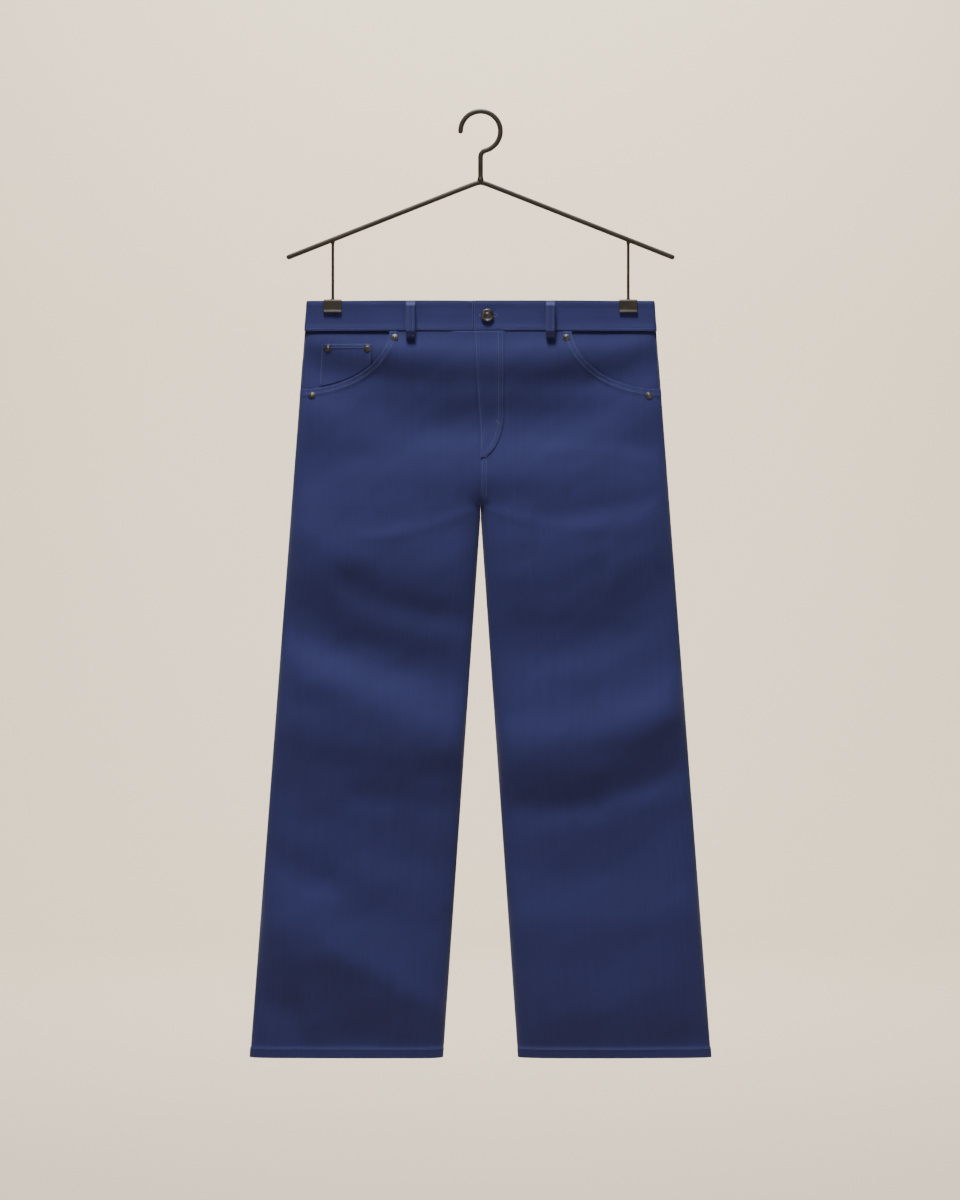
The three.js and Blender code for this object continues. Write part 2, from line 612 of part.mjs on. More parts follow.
for (const { name, sign } of SIDES) {
  const end = new THREE.Vector3(sign * ARM_END.x, 0, ARM_END.z);
  // The arm starts past the middle and is cut there, so that the two meet in a mitre.
  const long = solidOf(rod(new THREE.Vector3(-sign * ROD * 3, 0, armZ(-ROD * 3)), end, ROD));
  const half = new THREE.BoxGeometry(2 * ARM_END.x, ARM_END.x, 2 * ARM_END.x);
  half.translate(sign * (ARM_END.x + GAP / 2), 0, ARM_TOP_Z);
  place("hanger_arm_" + name, geometryOf(long.intersect(solidOf(half))), STEEL_FINISH);

  const above = new THREE.Vector3(sign * CLIP_X, 0, armZ(CLIP_X));
  const below = new THREE.Vector3(sign * CLIP_X, 0, clipTop + GAP);
  const clearance = solidOf(rod(new THREE.Vector3(0, 0, ARM_TOP_Z), end, ROD + GAP));
  const drop = solidOf(rod(below, above, CLIP_ROD)).subtract(clearance);
  place("clip_rod_" + name, geometryOf(drop), STEEL_FINISH);

  const strip = new THREE.ExtrudeGeometry(clipShape(), {
    depth: CLIP_WIDTH,
    bevelEnabled: false,
    curveSegments: 4,
  });
  strip.rotateX(Math.PI / 2);
  strip.rotateZ(Math.PI / 2);
  strip.translate(sign * CLIP_X - CLIP_WIDTH / 2, 0, 0);
  place("clip_" + name, facingOut(merged(strip)), STEEL_FINISH);
}

export default jeans;
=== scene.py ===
import math

import bpy
import numpy as np
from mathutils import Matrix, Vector


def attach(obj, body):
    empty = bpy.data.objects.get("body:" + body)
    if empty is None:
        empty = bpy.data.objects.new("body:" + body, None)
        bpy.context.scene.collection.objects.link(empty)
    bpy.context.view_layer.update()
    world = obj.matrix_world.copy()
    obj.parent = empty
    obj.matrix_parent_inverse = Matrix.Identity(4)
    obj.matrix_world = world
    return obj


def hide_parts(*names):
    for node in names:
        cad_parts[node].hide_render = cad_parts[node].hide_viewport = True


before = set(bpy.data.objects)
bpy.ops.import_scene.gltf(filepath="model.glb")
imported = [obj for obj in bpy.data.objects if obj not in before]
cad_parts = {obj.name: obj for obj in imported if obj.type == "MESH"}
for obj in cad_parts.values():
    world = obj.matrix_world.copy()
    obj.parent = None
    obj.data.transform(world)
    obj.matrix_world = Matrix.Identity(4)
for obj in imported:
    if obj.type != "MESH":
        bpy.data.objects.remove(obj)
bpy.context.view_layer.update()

MM = 0.001
ROUND = 2 * math.pi
FRONT, BACK = -1, 1
RIGHT, LEFT = -1, 1
SIDES = (("right", RIGHT), ("left", LEFT))

# ---- the garment's measures, as its solids have them ----
# The gap between neighbouring pieces, a layer of denim, a patch, how far a patch stands off what
# it lies on, and what the turned hem adds.
GAP, DENIM, PATCH, LIE = 0.3, 1.5, 1.3, 0.6
HEM_RISE, HEM_HEIGHT = 0.9, 14
# The outline, from the middle or from the hook, and how the cloth rounds over at its seams.
WAIST_Z, BAND_HEIGHT = -247, 40
CROTCH_Z, HEM_Z = -521, -1245
WAIST_HALF, HEM_OUTER, HEM_INNER = 229, 304, 50
SEAM_RADIUS = 8.5
# The waistband, its two lapped ends, and the cloth drawn in beside and below the clips.
BAND_WALL, BAND_PROUD = 3, 0.8
LAP_EDGE_X, UNDER_EDGE_X, LAP_GAP = -8, 26, 0.4
CLIP_X, CLIP_WIDTH, CLIP_GRIP, CLIP_STRIP = 195, 24, 16, 1.6
PINCHED_HALF, PINCH_SPREAD, PINCH_DROP = 4.2, 75, 110
PANEL_TOP = WAIST_Z - BAND_HEIGHT - GAP
TRUNK_END = CROTCH_Z + 34
# Pocket mouths, the coin pocket, fly, yoke, back pockets, trimmings and loops.
MOUTH_WIDE, MOUTH_DEEP = 112, 76
COIN_FROM_SIDE, COIN_WIDE, COIN_BELOW = 24, 66, 17
FLY_WIDE, FLY_DEEP, FLY_CURVE = 40, 168, 62
YOKE_SIDE, YOKE_CENTRE = 38, 72
POCKET_X, POCKET_TOP, POCKET_TILT = 112, -369, 0.08
POCKET_HALF, POCKET_TAPER, POCKET_TALL, POCKET_POINT = 75, 9, 128, 22
BUTTON_X, BUTTON_Z, BUTTON_RADIUS = 9, WAIST_Z - 20, 8.5
RIVET_RADIUS, RIVET_IN, RIVET_DOWN = 4.6, 7, 9
SIDE_RIVET_IN, COIN_RIVET_DOWN = 10, 6
LOOP_HALF, LOOP_WALL, LOOP_STAND = 6, 2, 7.6
LOOP_TOP, LOOP_BOTTOM, LOOP_BEND = WAIST_Z - 1, WAIST_Z - BAND_HEIGHT - 10, 0.15
# The hanger's rods, by their radius, and their bends.
ROD, CLIP_ROD = 3.3, 1.9
HOOK_RADIUS, HOOK_BEND = 26.3, 9
ARM_TOP_Z, ARM_END_X, ARM_END_Z = -90, 253, -190

# Height, then the garment's half depth on the front and on the back.
DEPTHS = np.array([
    (WAIST_Z, 9.5, 10.5),
    (WAIST_Z - BAND_HEIGHT, 11, 13),
    (-370, 16, 21),
    (-450, 19, 25),
    (CROTCH_Z, 21, 24.5),
    (-640, 22.5, 24),
    (-800, 21.5, 22.5),
    (-1000, 20, 21),
    (HEM_Z, 18, 18.5),
])

# A fold a row: the crest runs from (x0, z0) to (x1, z1), bowed by bow at its middle, with half
# widths w0 and w1 at its ends; it stands out by height, or lies in where that is negative.
# Columns: x0, z0, x1, z1, bow, w0, w1, height.
FRONT_FOLDS = np.array([
    (-234, -280, 233, -285, -61, 26, 26, 3),
    (-241, -335, 240, -335, -71, 40, 40, -7),
    (-244, -549, 258, -505, -62, 44, 50, 5.5),
    (-259, -589, -80, -642, -8, 28, 28, 2.5),
    (-257, -650, 261, -631, -80, 40, 46, -5.5),
    (-259, -726, -24, -829, -4, 42, 36, 7.5),
    (20, -850, 267, -768, -44, 56, 44, 9),
    (-270, -906, -40, -988, -9, 50, 54, -4),
    (31, -985, 276, -914, -41, 48, 44, -3),
    (-288, -1067, -59, -1183, -5, 58, 62, 9.5),
    (42, -1151, 296, -1091, -49, 80, 84, 8),
])
BACK_FOLDS = np.array([
    (-236, -345, 236, -352, -50, 36, 40, -4),
    (-245, -470, 245, -480, -40, 50, 46, 4.5),
    (-260, -560, 262, -585, -75, 40, 44, -4),
    (-266, -700, -22, -770, -14, 52, 40, 6),
    (14, -760, 266, -672, -16, 40, 38, 7),
    (-276, -810, -30, -868, -10, 44, 48, -4),
    (24, -875, 282, -812, -22, 46, 44, -4),
    (-288, -975, -40, -1040, -26, 66, 60, 6.5),
    (34, -1050, 292, -962, -8, 60, 54, 8),
    (-298, -1120, -46, -1165, -18, 50, 56, -3),
    (60, -1180, 300, -1105, -10, 40, 44, -3),
])
# What only the dressed cloth adds, in the same columns: finer creases, and folds between and
# along those above.
FRONT_CREASES = np.array([
    (-192, -1106, -47, -1183, 4, 22, 22, 2.5),
    (-150, -560, -20, -528, -6, 9, 7, 0.9),
    (150, -548, 22, -527, -5, 10, 7, 0.8),
    (96, -446, 214, -458, 6, 11, 12, 0.8),
    (-262, -800, -28, -845, -10, 34, 36, 6),
    (28, -832, 264, -788, -4, 34, 32, 7),
    (-264, -680, -30, -752, -6, 46, 34, -6),
    (-170, -630, -25, -668, -2, 24, 24, -5),
    (28, -917, 264, -872, -8, 28, 26, -6),
    (30, -690, 274, -700, -4, 44, 44, -3.5),
    (-285, -1062, -50, -1115, -6, 46, 46, 3.5),
    (48, -1070, 292, -1040, -8, 42, 40, 5.5),
    (-302, -1240, -60, -1225, 0, 40, 40, -4.5),
    (60, -1245, 302, -1235, 0, 40, 40, -6),
    (-222, -462, 215, -434, 30, 44, 40, -5),
    (-290, -975, -200, -1012, -4, 26, 28, -4.5),
    (90, -538, 220, -508, -2, 20, 20, -3.5),
    (20, -582, 160, -562, -4, 22, 22, -1.5),
    (180, -602, 264, -562, 0, 26, 26, 3),
    (-168, -345, 168, -347, -10, 20, 20, -3),
    (-190, -303, 195, -305, -12, 20, 20, 3),
    (180, -900, 268, -882, -2, 28, 24, 2.5),
    (-264, -690, -176, -716, -3, 26, 20, -2),
    (-260, -560, -150, -590, 0, 24, 20, 2),
    (-288, -1170, -240, -1190, 0, 30, 30, -4),
    (20, -480, 150, -470, -4, 20, 20, 1.5),
    (-150, -1010, -45, -1030, -4, 30, 30, 2.5),
    (-160, -900, -45, -915, -4, 22, 22, -2),
])
BACK_CREASES = np.array([
    (-150, -556, -18, -530, -6, 9, 7, 1.0),
    (150, -560, 20, -529, -8, 9, 7, 1.0),
    (-205, -640, -70, -668, -10, 16, 14, 1.6),
    (62, -742, 214, -712, -12, 15, 18, 1.8),
    (-236, -905, -90, -948, -8, 20, 18, 1.5),
    (88, -1108, 226, -1066, -10, 18, 20, 1.6),
    (-264, -648, -26, -712, -8, 34, 30, -5),
    (-266, -752, -30, -818, -8, 32, 30, 5),
    (24, -610, 262, -560, -8, 30, 28, -4.5),
    (22, -826, 270, -742, -14, 30, 30, -5.5),
    (30, -955, 284, -880, -10, 34, 32, 5),
    (-284, -905, -46, -965, -6, 32, 30, -4.5),
    (-292, -1050, -52, -1112, -8, 38, 36, 4),
    (40, -1135, 296, -1060, -10, 40, 38, -4.5),
    (-302, -1232, -60, -1238, 0, 38, 40, -4),
    (60, -1235, 302, -1240, 0, 40, 38, -4),
    (-245, -520, -40, -545, 0, 24, 22, -2.5),
])
# A fold fades past its ends over this share of its length, and at the waistband over FOLD_RUN.
FOLD_FADE = 0.25
FOLD_ABOVE, FOLD_RUN = 14, 40
# Height of the cloth's slight waves for their length, how far past a clip the cloth is held flat,
# and the step of turn or angle over which a section's slope is taken.
UNEVEN, CLIP_CLEAR, STEP = 0.0022, 2, 0.01

# ---- how it is sewn, which only the dressed pieces show ----
# Half the gap along a side seam or inseam, and how far a panel reaches past its edge there.
SEAM_HALF, LAPPED = 0.02, 0.05
# How wide the cloth is folded along each seam and how far the fold stands out, then the lengths
# over which a fold falls to the plain cloth and dies away before a side seam.
FELL_FOLD, FELL_HIGH = 9, 0.65
MOUTH_FOLD, MOUTH_HIGH = 9.5, 0.45
SEAT_FOLD, SEAT_HIGH = 8.6, 0.55
SIDE_FOLD, SIDE_HIGH = 13, 0.3
POCKET_FOLD, POCKET_HEM, POCKET_HIGH = 9.5, 14, 0.35
COIN_HEM, COIN_HIGH = 6.5, 0.35
FOLD_ENDS, FOLD_DIES = 2.2, 12
# Rows of stitching, and where the cloth puckers if that is elsewhere, by their distance in from
# the edge that they hold, and on a belt loop by their share of its half width.
FELL_SEWN = 2.2, 7.8
MOUTH_SEWN, MOUTH_PUCKERS = (2.2, 8.0), (2, 8)
SEAT_SEWN, SEAT_PUCKER = (2.0, 7.8), 5
FLY_SEWN, FLY_FREE_SEWN = (2.6, 8.2), 2
POCKET_SEWN, POCKET_HEM_SEWN = (2.0, 8.0), (3.0, 13.0)
COIN_SEWN, COIN_SIDE_SEWN, COIN_PUCKER = (1.4, COIN_HEM - 1), 2, 2.5
HEM_SEWN, BAND_SEWN = 12, 3
LOOP_SEWN = 0.55
# What lies on a panel: how far its face is out, and the fly's face and inside at its sewn edge,
# with the width over which they rise from there.
FLY_OUT, FLY_EDGE_OUT, FLY_EDGE_UNDER, FLY_SETTLES = LIE + PATCH, 0.25, -0.4, 4.0
POCKET_OUT, POCKET_UNDER = 0.1 + PATCH, 0.08
COIN_OUT = PATCH - DENIM
# The buttonhole's half length and half width, and how far its middle is from the button's.
HOLE_LONG, HOLE_WIDE, HOLE_OFF = 12.0, 2.6, 1.5


# ---- the garment's surface ----
def mix(a, b, t):
    """The value that lies t of the way from a to b."""
    return a + (b - a) * t


def smooth(t):
    """3 t squared less 2 t cubed, held at 0 and 1 outside."""
    c = np.clip(t, 0, 1)
    return c * c * (3 - 2 * c)


def full_depth(z, face):
    """A Catmull-Rom curve through the rows of DEPTHS."""
    heights, values = DEPTHS[:, 0], DEPTHS[:, 1 if face == FRONT else 2]
    last = len(values) - 1
    row = np.clip(np.searchsorted(-heights, -z) - 1, 0, last - 1)
    t = (heights[row] - z) / (heights[row] - heights[row + 1])
    p, a, b, q = (values[np.clip(row + k, 0, last)] for k in (-1, 0, 1, 2))
    bend = (2 * p - 5 * a + 4 * b - q) * t**2 + (3 * a - 3 * b + q - p) * t**3
    return a + 0.5 * ((b - p) * t + bend)


def waves(x, z, face):
    """The cloth's slight unevenness: nine slanting sine waves from 24 to 95 long, each as high as
    UNEVEN of its length, whose ways and phases a fixed seed draws."""
    pick = np.random.default_rng(41 + face)
    rise = 0
    for length in np.geomspace(24, 95, 9):
        way, phase = pick.uniform(0, math.pi), pick.uniform(0, ROUND)
        along = x * math.cos(way) + z * math.sin(way)
        rise = rise + UNEVEN * length * np.sin(ROUND * along / length + phase)
    return rise


def fold_rise(x, z, face):
    """Each fold is its height times a bell across its crest, e to the minus across squared, and
    dies away past its ends. None reaches the stiff waistband."""
    tables = (FRONT_FOLDS, FRONT_CREASES) if face == FRONT else (BACK_FOLDS, BACK_CREASES)
    rise = waves(x, z, face)
    for x0, z0, x1, z1, bow, w0, w1, height in np.vstack(tables):
        along = (x - x0) / (x1 - x0)
        crest = mix(z0, z1, along) + 4 * bow * along * (1 - along)
        across = (z - crest) / mix(w0, w1, np.clip(along, 0, 1))
        ends = smooth(1 + along / FOLD_FADE) * smooth(1 + (1 - along) / FOLD_FADE)
        rise = rise + height * np.exp(-across * across) * ends
    return rise * smooth((PANEL_TOP + FOLD_ABOVE - z) / FOLD_RUN)


def section(z):
    """Outer and inner edge of a leg at height z: straight lines from waist to hem and from the
    crotch to the hem."""
    outer = mix(WAIST_HALF, HEM_OUTER, (WAIST_Z - z) / (WAIST_Z - HEM_Z))
    inner = np.maximum(0, HEM_INNER * (CROTCH_Z - z) / (CROTCH_Z - HEM_Z))
    return outer, inner


def depth(x, z, face):
    """Half depth plus folds, rounded over to nothing at the seams by tanh of the root of the
    distance from the edge, and drawn in beside and below the clips."""
    outer, inner = section(z)
    full = full_depth(z, face)
    beyond = lambda edge: np.tanh(np.sqrt(2 * SEAM_RADIUS * np.maximum(0, edge)) / full)
    from_inner = np.where(z < CROTCH_Z, np.abs(x) - inner, np.hypot(x, z - CROTCH_Z))
    out = (full + fold_rise(x, z, face)) * beyond(outer - np.abs(x)) * beyond(from_inner)
    beside = 1 - smooth((np.abs(np.abs(x) - CLIP_X) - CLIP_WIDTH / 2 - CLIP_CLEAR) / PINCH_SPREAD)
    below = 1 - smooth((WAIST_Z - CLIP_GRIP - CLIP_CLEAR - z) / PINCH_DROP)
    pinched = PINCHED_HALF / (full * beyond(outer - CLIP_X))
    return out * mix(1, pinched, beside * below)


def along_turn(turn, z):
    """x of a panel's column: a cosine from the side seam at 0 to the inner edge at 1."""
    outer, inner = section(z)
    return mix(outer, np.maximum(inner, -LAPPED), (1 - np.cos(np.pi * turn)) / 2)


def turn_at(x, z):
    """The turn of the column that is at x: along_turn undone by the arc cosine."""
    outer, inner = section(z)
    share = (outer - x) / (outer - np.maximum(inner, -LAPPED))
    return np.arccos(np.clip(1 - 2 * share, -1, 1)) / np.pi


def moved_out(at, t, before, after, lift):
    """The point at(t) moved by lift square to the line from at(before) to at(after)."""
    (x, y), (xa, ya), (xb, yb) = at(t), at(before), at(after)
    length = np.hypot(xb - xa, yb - ya)
    return x + lift * (yb - ya) / length, y - lift * (xb - xa) / length


def panel_point(side, face, turn, z, lift):
    """The section's point at turn and height z, moved out by lift square to the section."""
    def at(t):
        x = along_turn(t, z)
        return x, SEAM_HALF + depth(side * x, z, face)

    x, y = moved_out(at, turn, np.maximum(0, turn - STEP), np.minimum(1, turn + STEP), lift)
    return np.stack([side * x, face * np.maximum(SEAM_HALF, y), z + 0 * x], -1)


def face_point(face, x, z, lift):
    """The point over (x, z), moved out by lift along the surface's normal."""
    x, z = np.broadcast_arrays(np.asarray(x, float), np.asarray(z, float))
    slope_x = (depth(x + 1, z, face) - depth(x - 1, z, face)) / 2
    slope_z = (depth(x, z + 1, face) - depth(x, z - 1, face)) / 2
    out = np.stack([-slope_x, np.full_like(x, face), -slope_z], -1)
    out /= np.linalg.norm(out, axis=-1, keepdims=True)
    foot = np.stack([x, face * (SEAM_HALF + depth(x, z, face)), z], -1)
    return foot + out * np.asarray(lift)[..., None]


CENTRE_FRONT = 1.5 * math.pi
BAND_START = CENTRE_FRONT + math.asin(UNDER_EDGE_X / WAIST_HALF)
BAND_END = -0.5 * math.pi + math.asin(LAP_EDGE_X / WAIST_HALF)
UNDER_FROM, UNDER_RUN = CENTRE_FRONT - 0.18, 0.13


def band_point(angle, z, lift):
    """The waistband's ring: angle 0 is the left side seam and a quarter turn more the middle of
    the back; x is the outer edge times its cosine. Its under end drops inwards by the lap."""
    outer, _ = section(z)

    def at(a):
        x = outer * np.cos(a)
        return x, np.where(np.sin(a) < 0, -depth(x, z, FRONT), depth(x, z, BACK))

    out = lift - (BAND_WALL + LAP_GAP) * smooth((angle - UNDER_FROM) / UNDER_RUN)
    x, y = moved_out(at, angle, angle - STEP, angle + STEP, out)
    return np.stack([x, y, z + 0 * x], -1)


SIDE_X = section(PANEL_TOP)[0]
YOKE_SLOPE = (YOKE_CENTRE - YOKE_SIDE) / WAIST_HALF


def yoke_seam(x):
    """Height of the yoke's lower seam: a straight line that rises from the middle to the side."""
    return PANEL_TOP - YOKE_CENTRE + YOKE_SLOPE * x


def ridge(distance, wide, high):
    """A seam's fold of cloth: high up to wide from the edge, gone FOLD_ENDS further in."""
    return high * (1 - smooth((distance - wide) / FOLD_ENDS))


def seam_dies(x, z):
    """1 over the cloth, 0 at the side seam: how far a fold across it still stands."""
    return smooth(edge_distance(x, section(z)[0]) / FOLD_DIES)


def edge_distance(x, edge):
    """Length over the rounded edge from the seam to x: the root of 2 radius times the offset."""
    return np.sqrt(2 * SEAM_RADIUS * np.maximum(0, np.abs(x - edge)))


# ---- meshes ----
def put(name, points, quads, triangles=None, uv=None, marks=None):
    """A mesh object at the origin from arrays, its faces turned out by the sign of its volume."""
    triangles = np.zeros((0, 3), int) if triangles is None else triangles
    a, b, c, d = (points[quads[:, k]] for k in range(4))
    e, f, g = (points[triangles[:, k]] for k in range(3))
    volume = np.sum(a * np.cross(b, c)) + np.sum(a * np.cross(c, d)) + np.sum(e * np.cross(f, g))
    if volume < 0:
        quads, triangles = quads[:, ::-1], triangles[:, ::-1]
    corners = np.concatenate([quads.ravel(), triangles.ravel()]).astype(np.int32)
    starts = np.concatenate([
        4 * np.arange(len(quads)),
        4 * len(quads) + 3 * np.arange(len(triangles)),
    ]).astype(np.int32)
    mesh = bpy.data.meshes.new(name)
    mesh.vertices.add(len(points))
    mesh.vertices.foreach_set("co", (points * MM).astype(np.float32).ravel())
    mesh.loops.add(len(corners))
    mesh.loops.foreach_set("vertex_index", corners)
    mesh.polygons.add(len(starts))
    mesh.polygons.foreach_set("loop_start", starts)
    mesh.polygons.foreach_set("use_smooth", np.ones(len(starts), bool))
    if uv is not None:
        layer = mesh.uv_layers.new(name="cloth")
        layer.data.foreach_set("uv", (uv[corners] * MM).astype(np.float32).ravel())
    for mark, values in (marks or {}).items():
        attribute = mesh.attributes.new(mark, "FLOAT", "POINT")
        attribute.data.foreach_set("value", values.astype(np.float32))
    mesh.update(calc_edges=True)
    mesh.validate()
    piece = bpy.data.objects.new(name, mesh)
    bpy.context.scene.collection.objects.link(piece)
    return piece


def circle(sides):
    """Even angles round a circle."""
    return ROUND * np.arange(sides) / sides


def grid_quads(index):
    """A quad between each two neighbouring rows and columns of a grid of point numbers."""
    corners = [index[:-1, :-1], index[:-1, 1:], index[1:, 1:], index[1:, :-1]]
    return np.stack(corners, -1).reshape(-1, 4)


def drawn_in(grid, by):
    """The grid with its border moved by that length, or 0.45 of the way, to the next line in."""
    grid = grid.copy()
    for swap in (False, True):
        g = grid.swapaxes(0, 1) if swap else grid
        for end, near in ((0, 1), (-1, -2)):
            step = g[near] - g[end]
            length = np.linalg.norm(step, axis=-1, keepdims=True)
            g[end] += step * np.minimum(0.45, by / np.maximum(length, 1e-6))
    return grid


def wall(name, outside, inside, rounding, uv=None, marks=None):
    """A closed wall between two grids of points. Its edge is rounded over: the grids' borders are
    drawn in, and three rings between them lie further out, the middle one furthest."""
    rows, columns = outside.shape[:2]
    count = rows * columns
    index = np.arange(count).reshape(rows, columns)
    border = np.concatenate([index[0, :-1], index[:-1, -1], index[-1, :0:-1], index[:0:-1, 0]])
    layers = [drawn_in(g, rounding).reshape(count, 3) for g in (outside, inside)]
    edge = [drawn_in(g, 0.3 * rounding).reshape(count, 3)[border] for g in (outside, inside)]
    whole = [g.reshape(count, 3)[border] for g in (outside, inside)]
    rings = [mix(*edge, 0.2), mix(*whole, 0.5), mix(*edge, 0.8)]
    top = grid_quads(index)
    chain = [border, *(2 * count + len(border) * k + np.arange(len(border)) for k in range(3))]
    chain.append(count + border)
    pairs = zip(chain, chain[1:])
    strips = [np.stack([np.roll(a, -1), a, b, np.roll(b, -1)], -1) for a, b in pairs]
    spread = lambda values: np.concatenate([values, values, *[values[border]] * 3])
    return put(
        name,
        np.concatenate([*layers, *rings]),
        np.concatenate([top, count + top[:, ::-1], *strips]),
        uv=None if uv is None else spread(uv.reshape(count, 2)),
        marks={key: spread(np.ravel(value)) for key, value in (marks or {}).items()},
    )


def tube(name, x, z, radius, sides=24):
    """A round rod along a path in the hanger's plane, each end closed by a half ball: rings that
    shrink as the cosine while they move out as the sine."""
    path = np.stack([x, 0 * x, z], -1)
    lean = np.linspace(0, math.pi / 2, 7)[1:-1, None]
    radii = np.broadcast_to(radius, len(path)).astype(float)
    tangent = np.gradient(path, axis=0)
    tangent /= np.linalg.norm(tangent, axis=1, keepdims=True)
    first = path[0] - tangent[0] * radii[0] * np.sin(lean)[::-1]
    last = path[-1] + tangent[-1] * radii[-1] * np.sin(lean)
    shrink = np.cos(lean)[:, 0]
    centres = np.vstack([first, path, last])
    radii = np.concatenate([radii[0] * shrink[::-1], radii, radii[-1] * shrink])
    caps = (len(lean), 1)
    ahead = np.vstack([np.tile(tangent[0], caps), tangent, np.tile(tangent[-1], caps)])
    side = np.cross(ahead, [0, 1.0, 0])
    angle = circle(sides)
    ring = side[:, None] * np.cos(angle)[:, None] + np.array([0, 1.0, 0]) * np.sin(angle)[:, None]
    points = centres[:, None] + ring * radii[:, None, None]
    poles = first[0] - tangent[0] * radii[0] * 0.03, last[-1] + tangent[-1] * radii[-1] * 0.03
    return rings_of(name, points, *poles)


def ring_faces(rings, sides):
    """Quads between neighbouring rings and triangles from the end rings to the two poles."""
    index = np.arange(rings * sides).reshape(rings, sides)
    on = np.roll(index, -1, axis=1)
    quads = np.stack([index[:-1], on[:-1], on[1:], index[1:]], -1).reshape(-1, 4)
    low, high = rings * sides, rings * sides + 1
    start = np.stack([np.full(sides, low), on[0], index[0]], -1)
    end = np.stack([np.full(sides, high), index[-1], on[-1]], -1)
    return quads, np.concatenate([start, end])


def rings_of(name, points, first_pole, last_pole):
    """A closed mesh of rings of points, with a pole at either end."""
    rings, sides = points.shape[:2]
    quads, triangles = ring_faces(rings, sides)
    points = np.vstack([points.reshape(-1, 3), first_pole, last_pole])
    return put(name, points, quads, triangles)


def turned(name, profile, foot, out, sides=56):
    """A profile of (radius, height) turned about the way out of the cloth at foot."""
    profile = np.asarray(profile, float)
    out = out / np.linalg.norm(out)
    across = np.cross(out, [0, 0, 1.0])
    across /= np.linalg.norm(across)
    up = np.cross(across, out)
    angle = circle(sides)
    ring = across * np.cos(angle)[:, None] + up * np.sin(angle)[:, None]
    middle = profile[1:-1]
    points = foot + ring * middle[:, 0, None, None] + out * middle[:, 1, None, None]
    return rings_of(name, points, foot + out * profile[0, 1], foot + out * profile[-1, 1])


# ---- sewing ----
THREAD_WIDE, THREAD_HIGH = 0.62, 0.34
BEAD_RINGS, BEAD_SIDES = np.array([-0.78, -0.3, 0.3, 0.78]), 6
BEAD_SINK = 0.12
FINE = {"pitch": 2.8, "length": 2.3}
BAR_TACK = {"pitch": 0.7, "length": 2.2, "crosswise": True}


def sewn(line_at, pitch=3.1, length=2.6, crosswise=False):
    """A row of stitches, along the line that line_at gives for a lift of 0 over the cloth; a lift
    of 1 leads straight out from it. Each pitch has one bead of thread: an ellipse carried along
    the stitch, swelling as the root of a half circle, its middle on the cloth and its ends sunk
    in it. Returns the rings and poles of all the beads."""
    line = line_at(0.0)
    out = line_at(1.0) - line
    out /= np.linalg.norm(out, axis=-1, keepdims=True)
    run = np.concatenate([[0], np.cumsum(np.linalg.norm(np.diff(line, axis=0), axis=1))])
    at = np.arange(pitch / 2, run[-1], pitch)
    spot = lambda values, s: np.stack([np.interp(s, run, values[:, k]) for k in range(3)], -1)
    centre, normal = spot(line, at), spot(out, at)
    along = spot(line, at + 0.2) - spot(line, at - 0.2)
    along /= np.linalg.norm(along, axis=1, keepdims=True)
    normal /= np.linalg.norm(normal, axis=1, keepdims=True)
    across = np.cross(normal, along)
    if crosswise:
        along, across = across, along
    ends = [centre + s * along * length / 2 - BEAD_SINK * normal for s in (-1, 1)]
    centre, along, across, normal = (v[:, None, None] for v in (centre, along, across, normal))
    share = BEAD_RINGS[:, None, None]
    swell = np.sqrt(1 - share**2)
    angle = circle(BEAD_SIDES)[:, None]
    rings = (
        centre
        + along * share * length / 2
        + across * np.cos(angle) * swell * THREAD_WIDE / 2
        + normal * (np.sin(angle) * swell * THREAD_HIGH + BEAD_SINK - 0.22 * share**2)
    )
    return rings, np.stack(ends, 1)


def thread_piece(name, rows):
    """All the stitches of these rows as one mesh."""
    rings, ends = (np.concatenate(part) for part in zip(*rows))
    count = len(rings)
    quads, triangles = ring_faces(len(BEAD_RINGS), BEAD_SIDES)
    points = np.concatenate([rings.reshape(count, -1, 3), ends], axis=1)
    offset = points.shape[1] * np.arange(count)[:, None, None]
    quads, triangles = (quads + offset).reshape(-1, 4), (triangles + offset).reshape(-1, 3)
    return put(name, points.reshape(-1, 3), quads, triangles)


def beside(distances, near):
    """1 on a row of stitching and dying away from the nearest one by a bell as wide as near."""
    nearest = np.min(np.broadcast_arrays(*[np.abs(d) for d in distances]), axis=0)
    return np.exp(-((nearest / near) ** 2))


# ---- finishes ----
class Value:
    """A socket of a finish, whose maths reads as Python."""

    def __init__(self, finish, socket):
        self.finish, self.socket = finish, socket

    def _maths(self, kind, *values):
        settings = {"operation": kind}
        return self.finish.node("ShaderNodeMath", settings, dict(enumerate(values)))

    def __add__(self, other):
        return self._maths("ADD", self, other)

    def __sub__(self, other):
        return self._maths("SUBTRACT", self, other)

    def __rsub__(self, other):
        return self._maths("SUBTRACT", other, self)

    def __mul__(self, other):
        return self._maths("MULTIPLY", self, other)

    def __pow__(self, other):
        return self._maths("POWER", self, other)

    __radd__, __rmul__ = __add__, __mul__

    def sine(self):
        return self._maths("SINE", self)

    def between(self, low, high):
        """0 at low and 1 at high, held outside."""
        sockets = {"Value": self, "From Min": low, "From Max": high}
        return self.finish.node("ShaderNodeMapRange", {"clamp": True}, sockets)


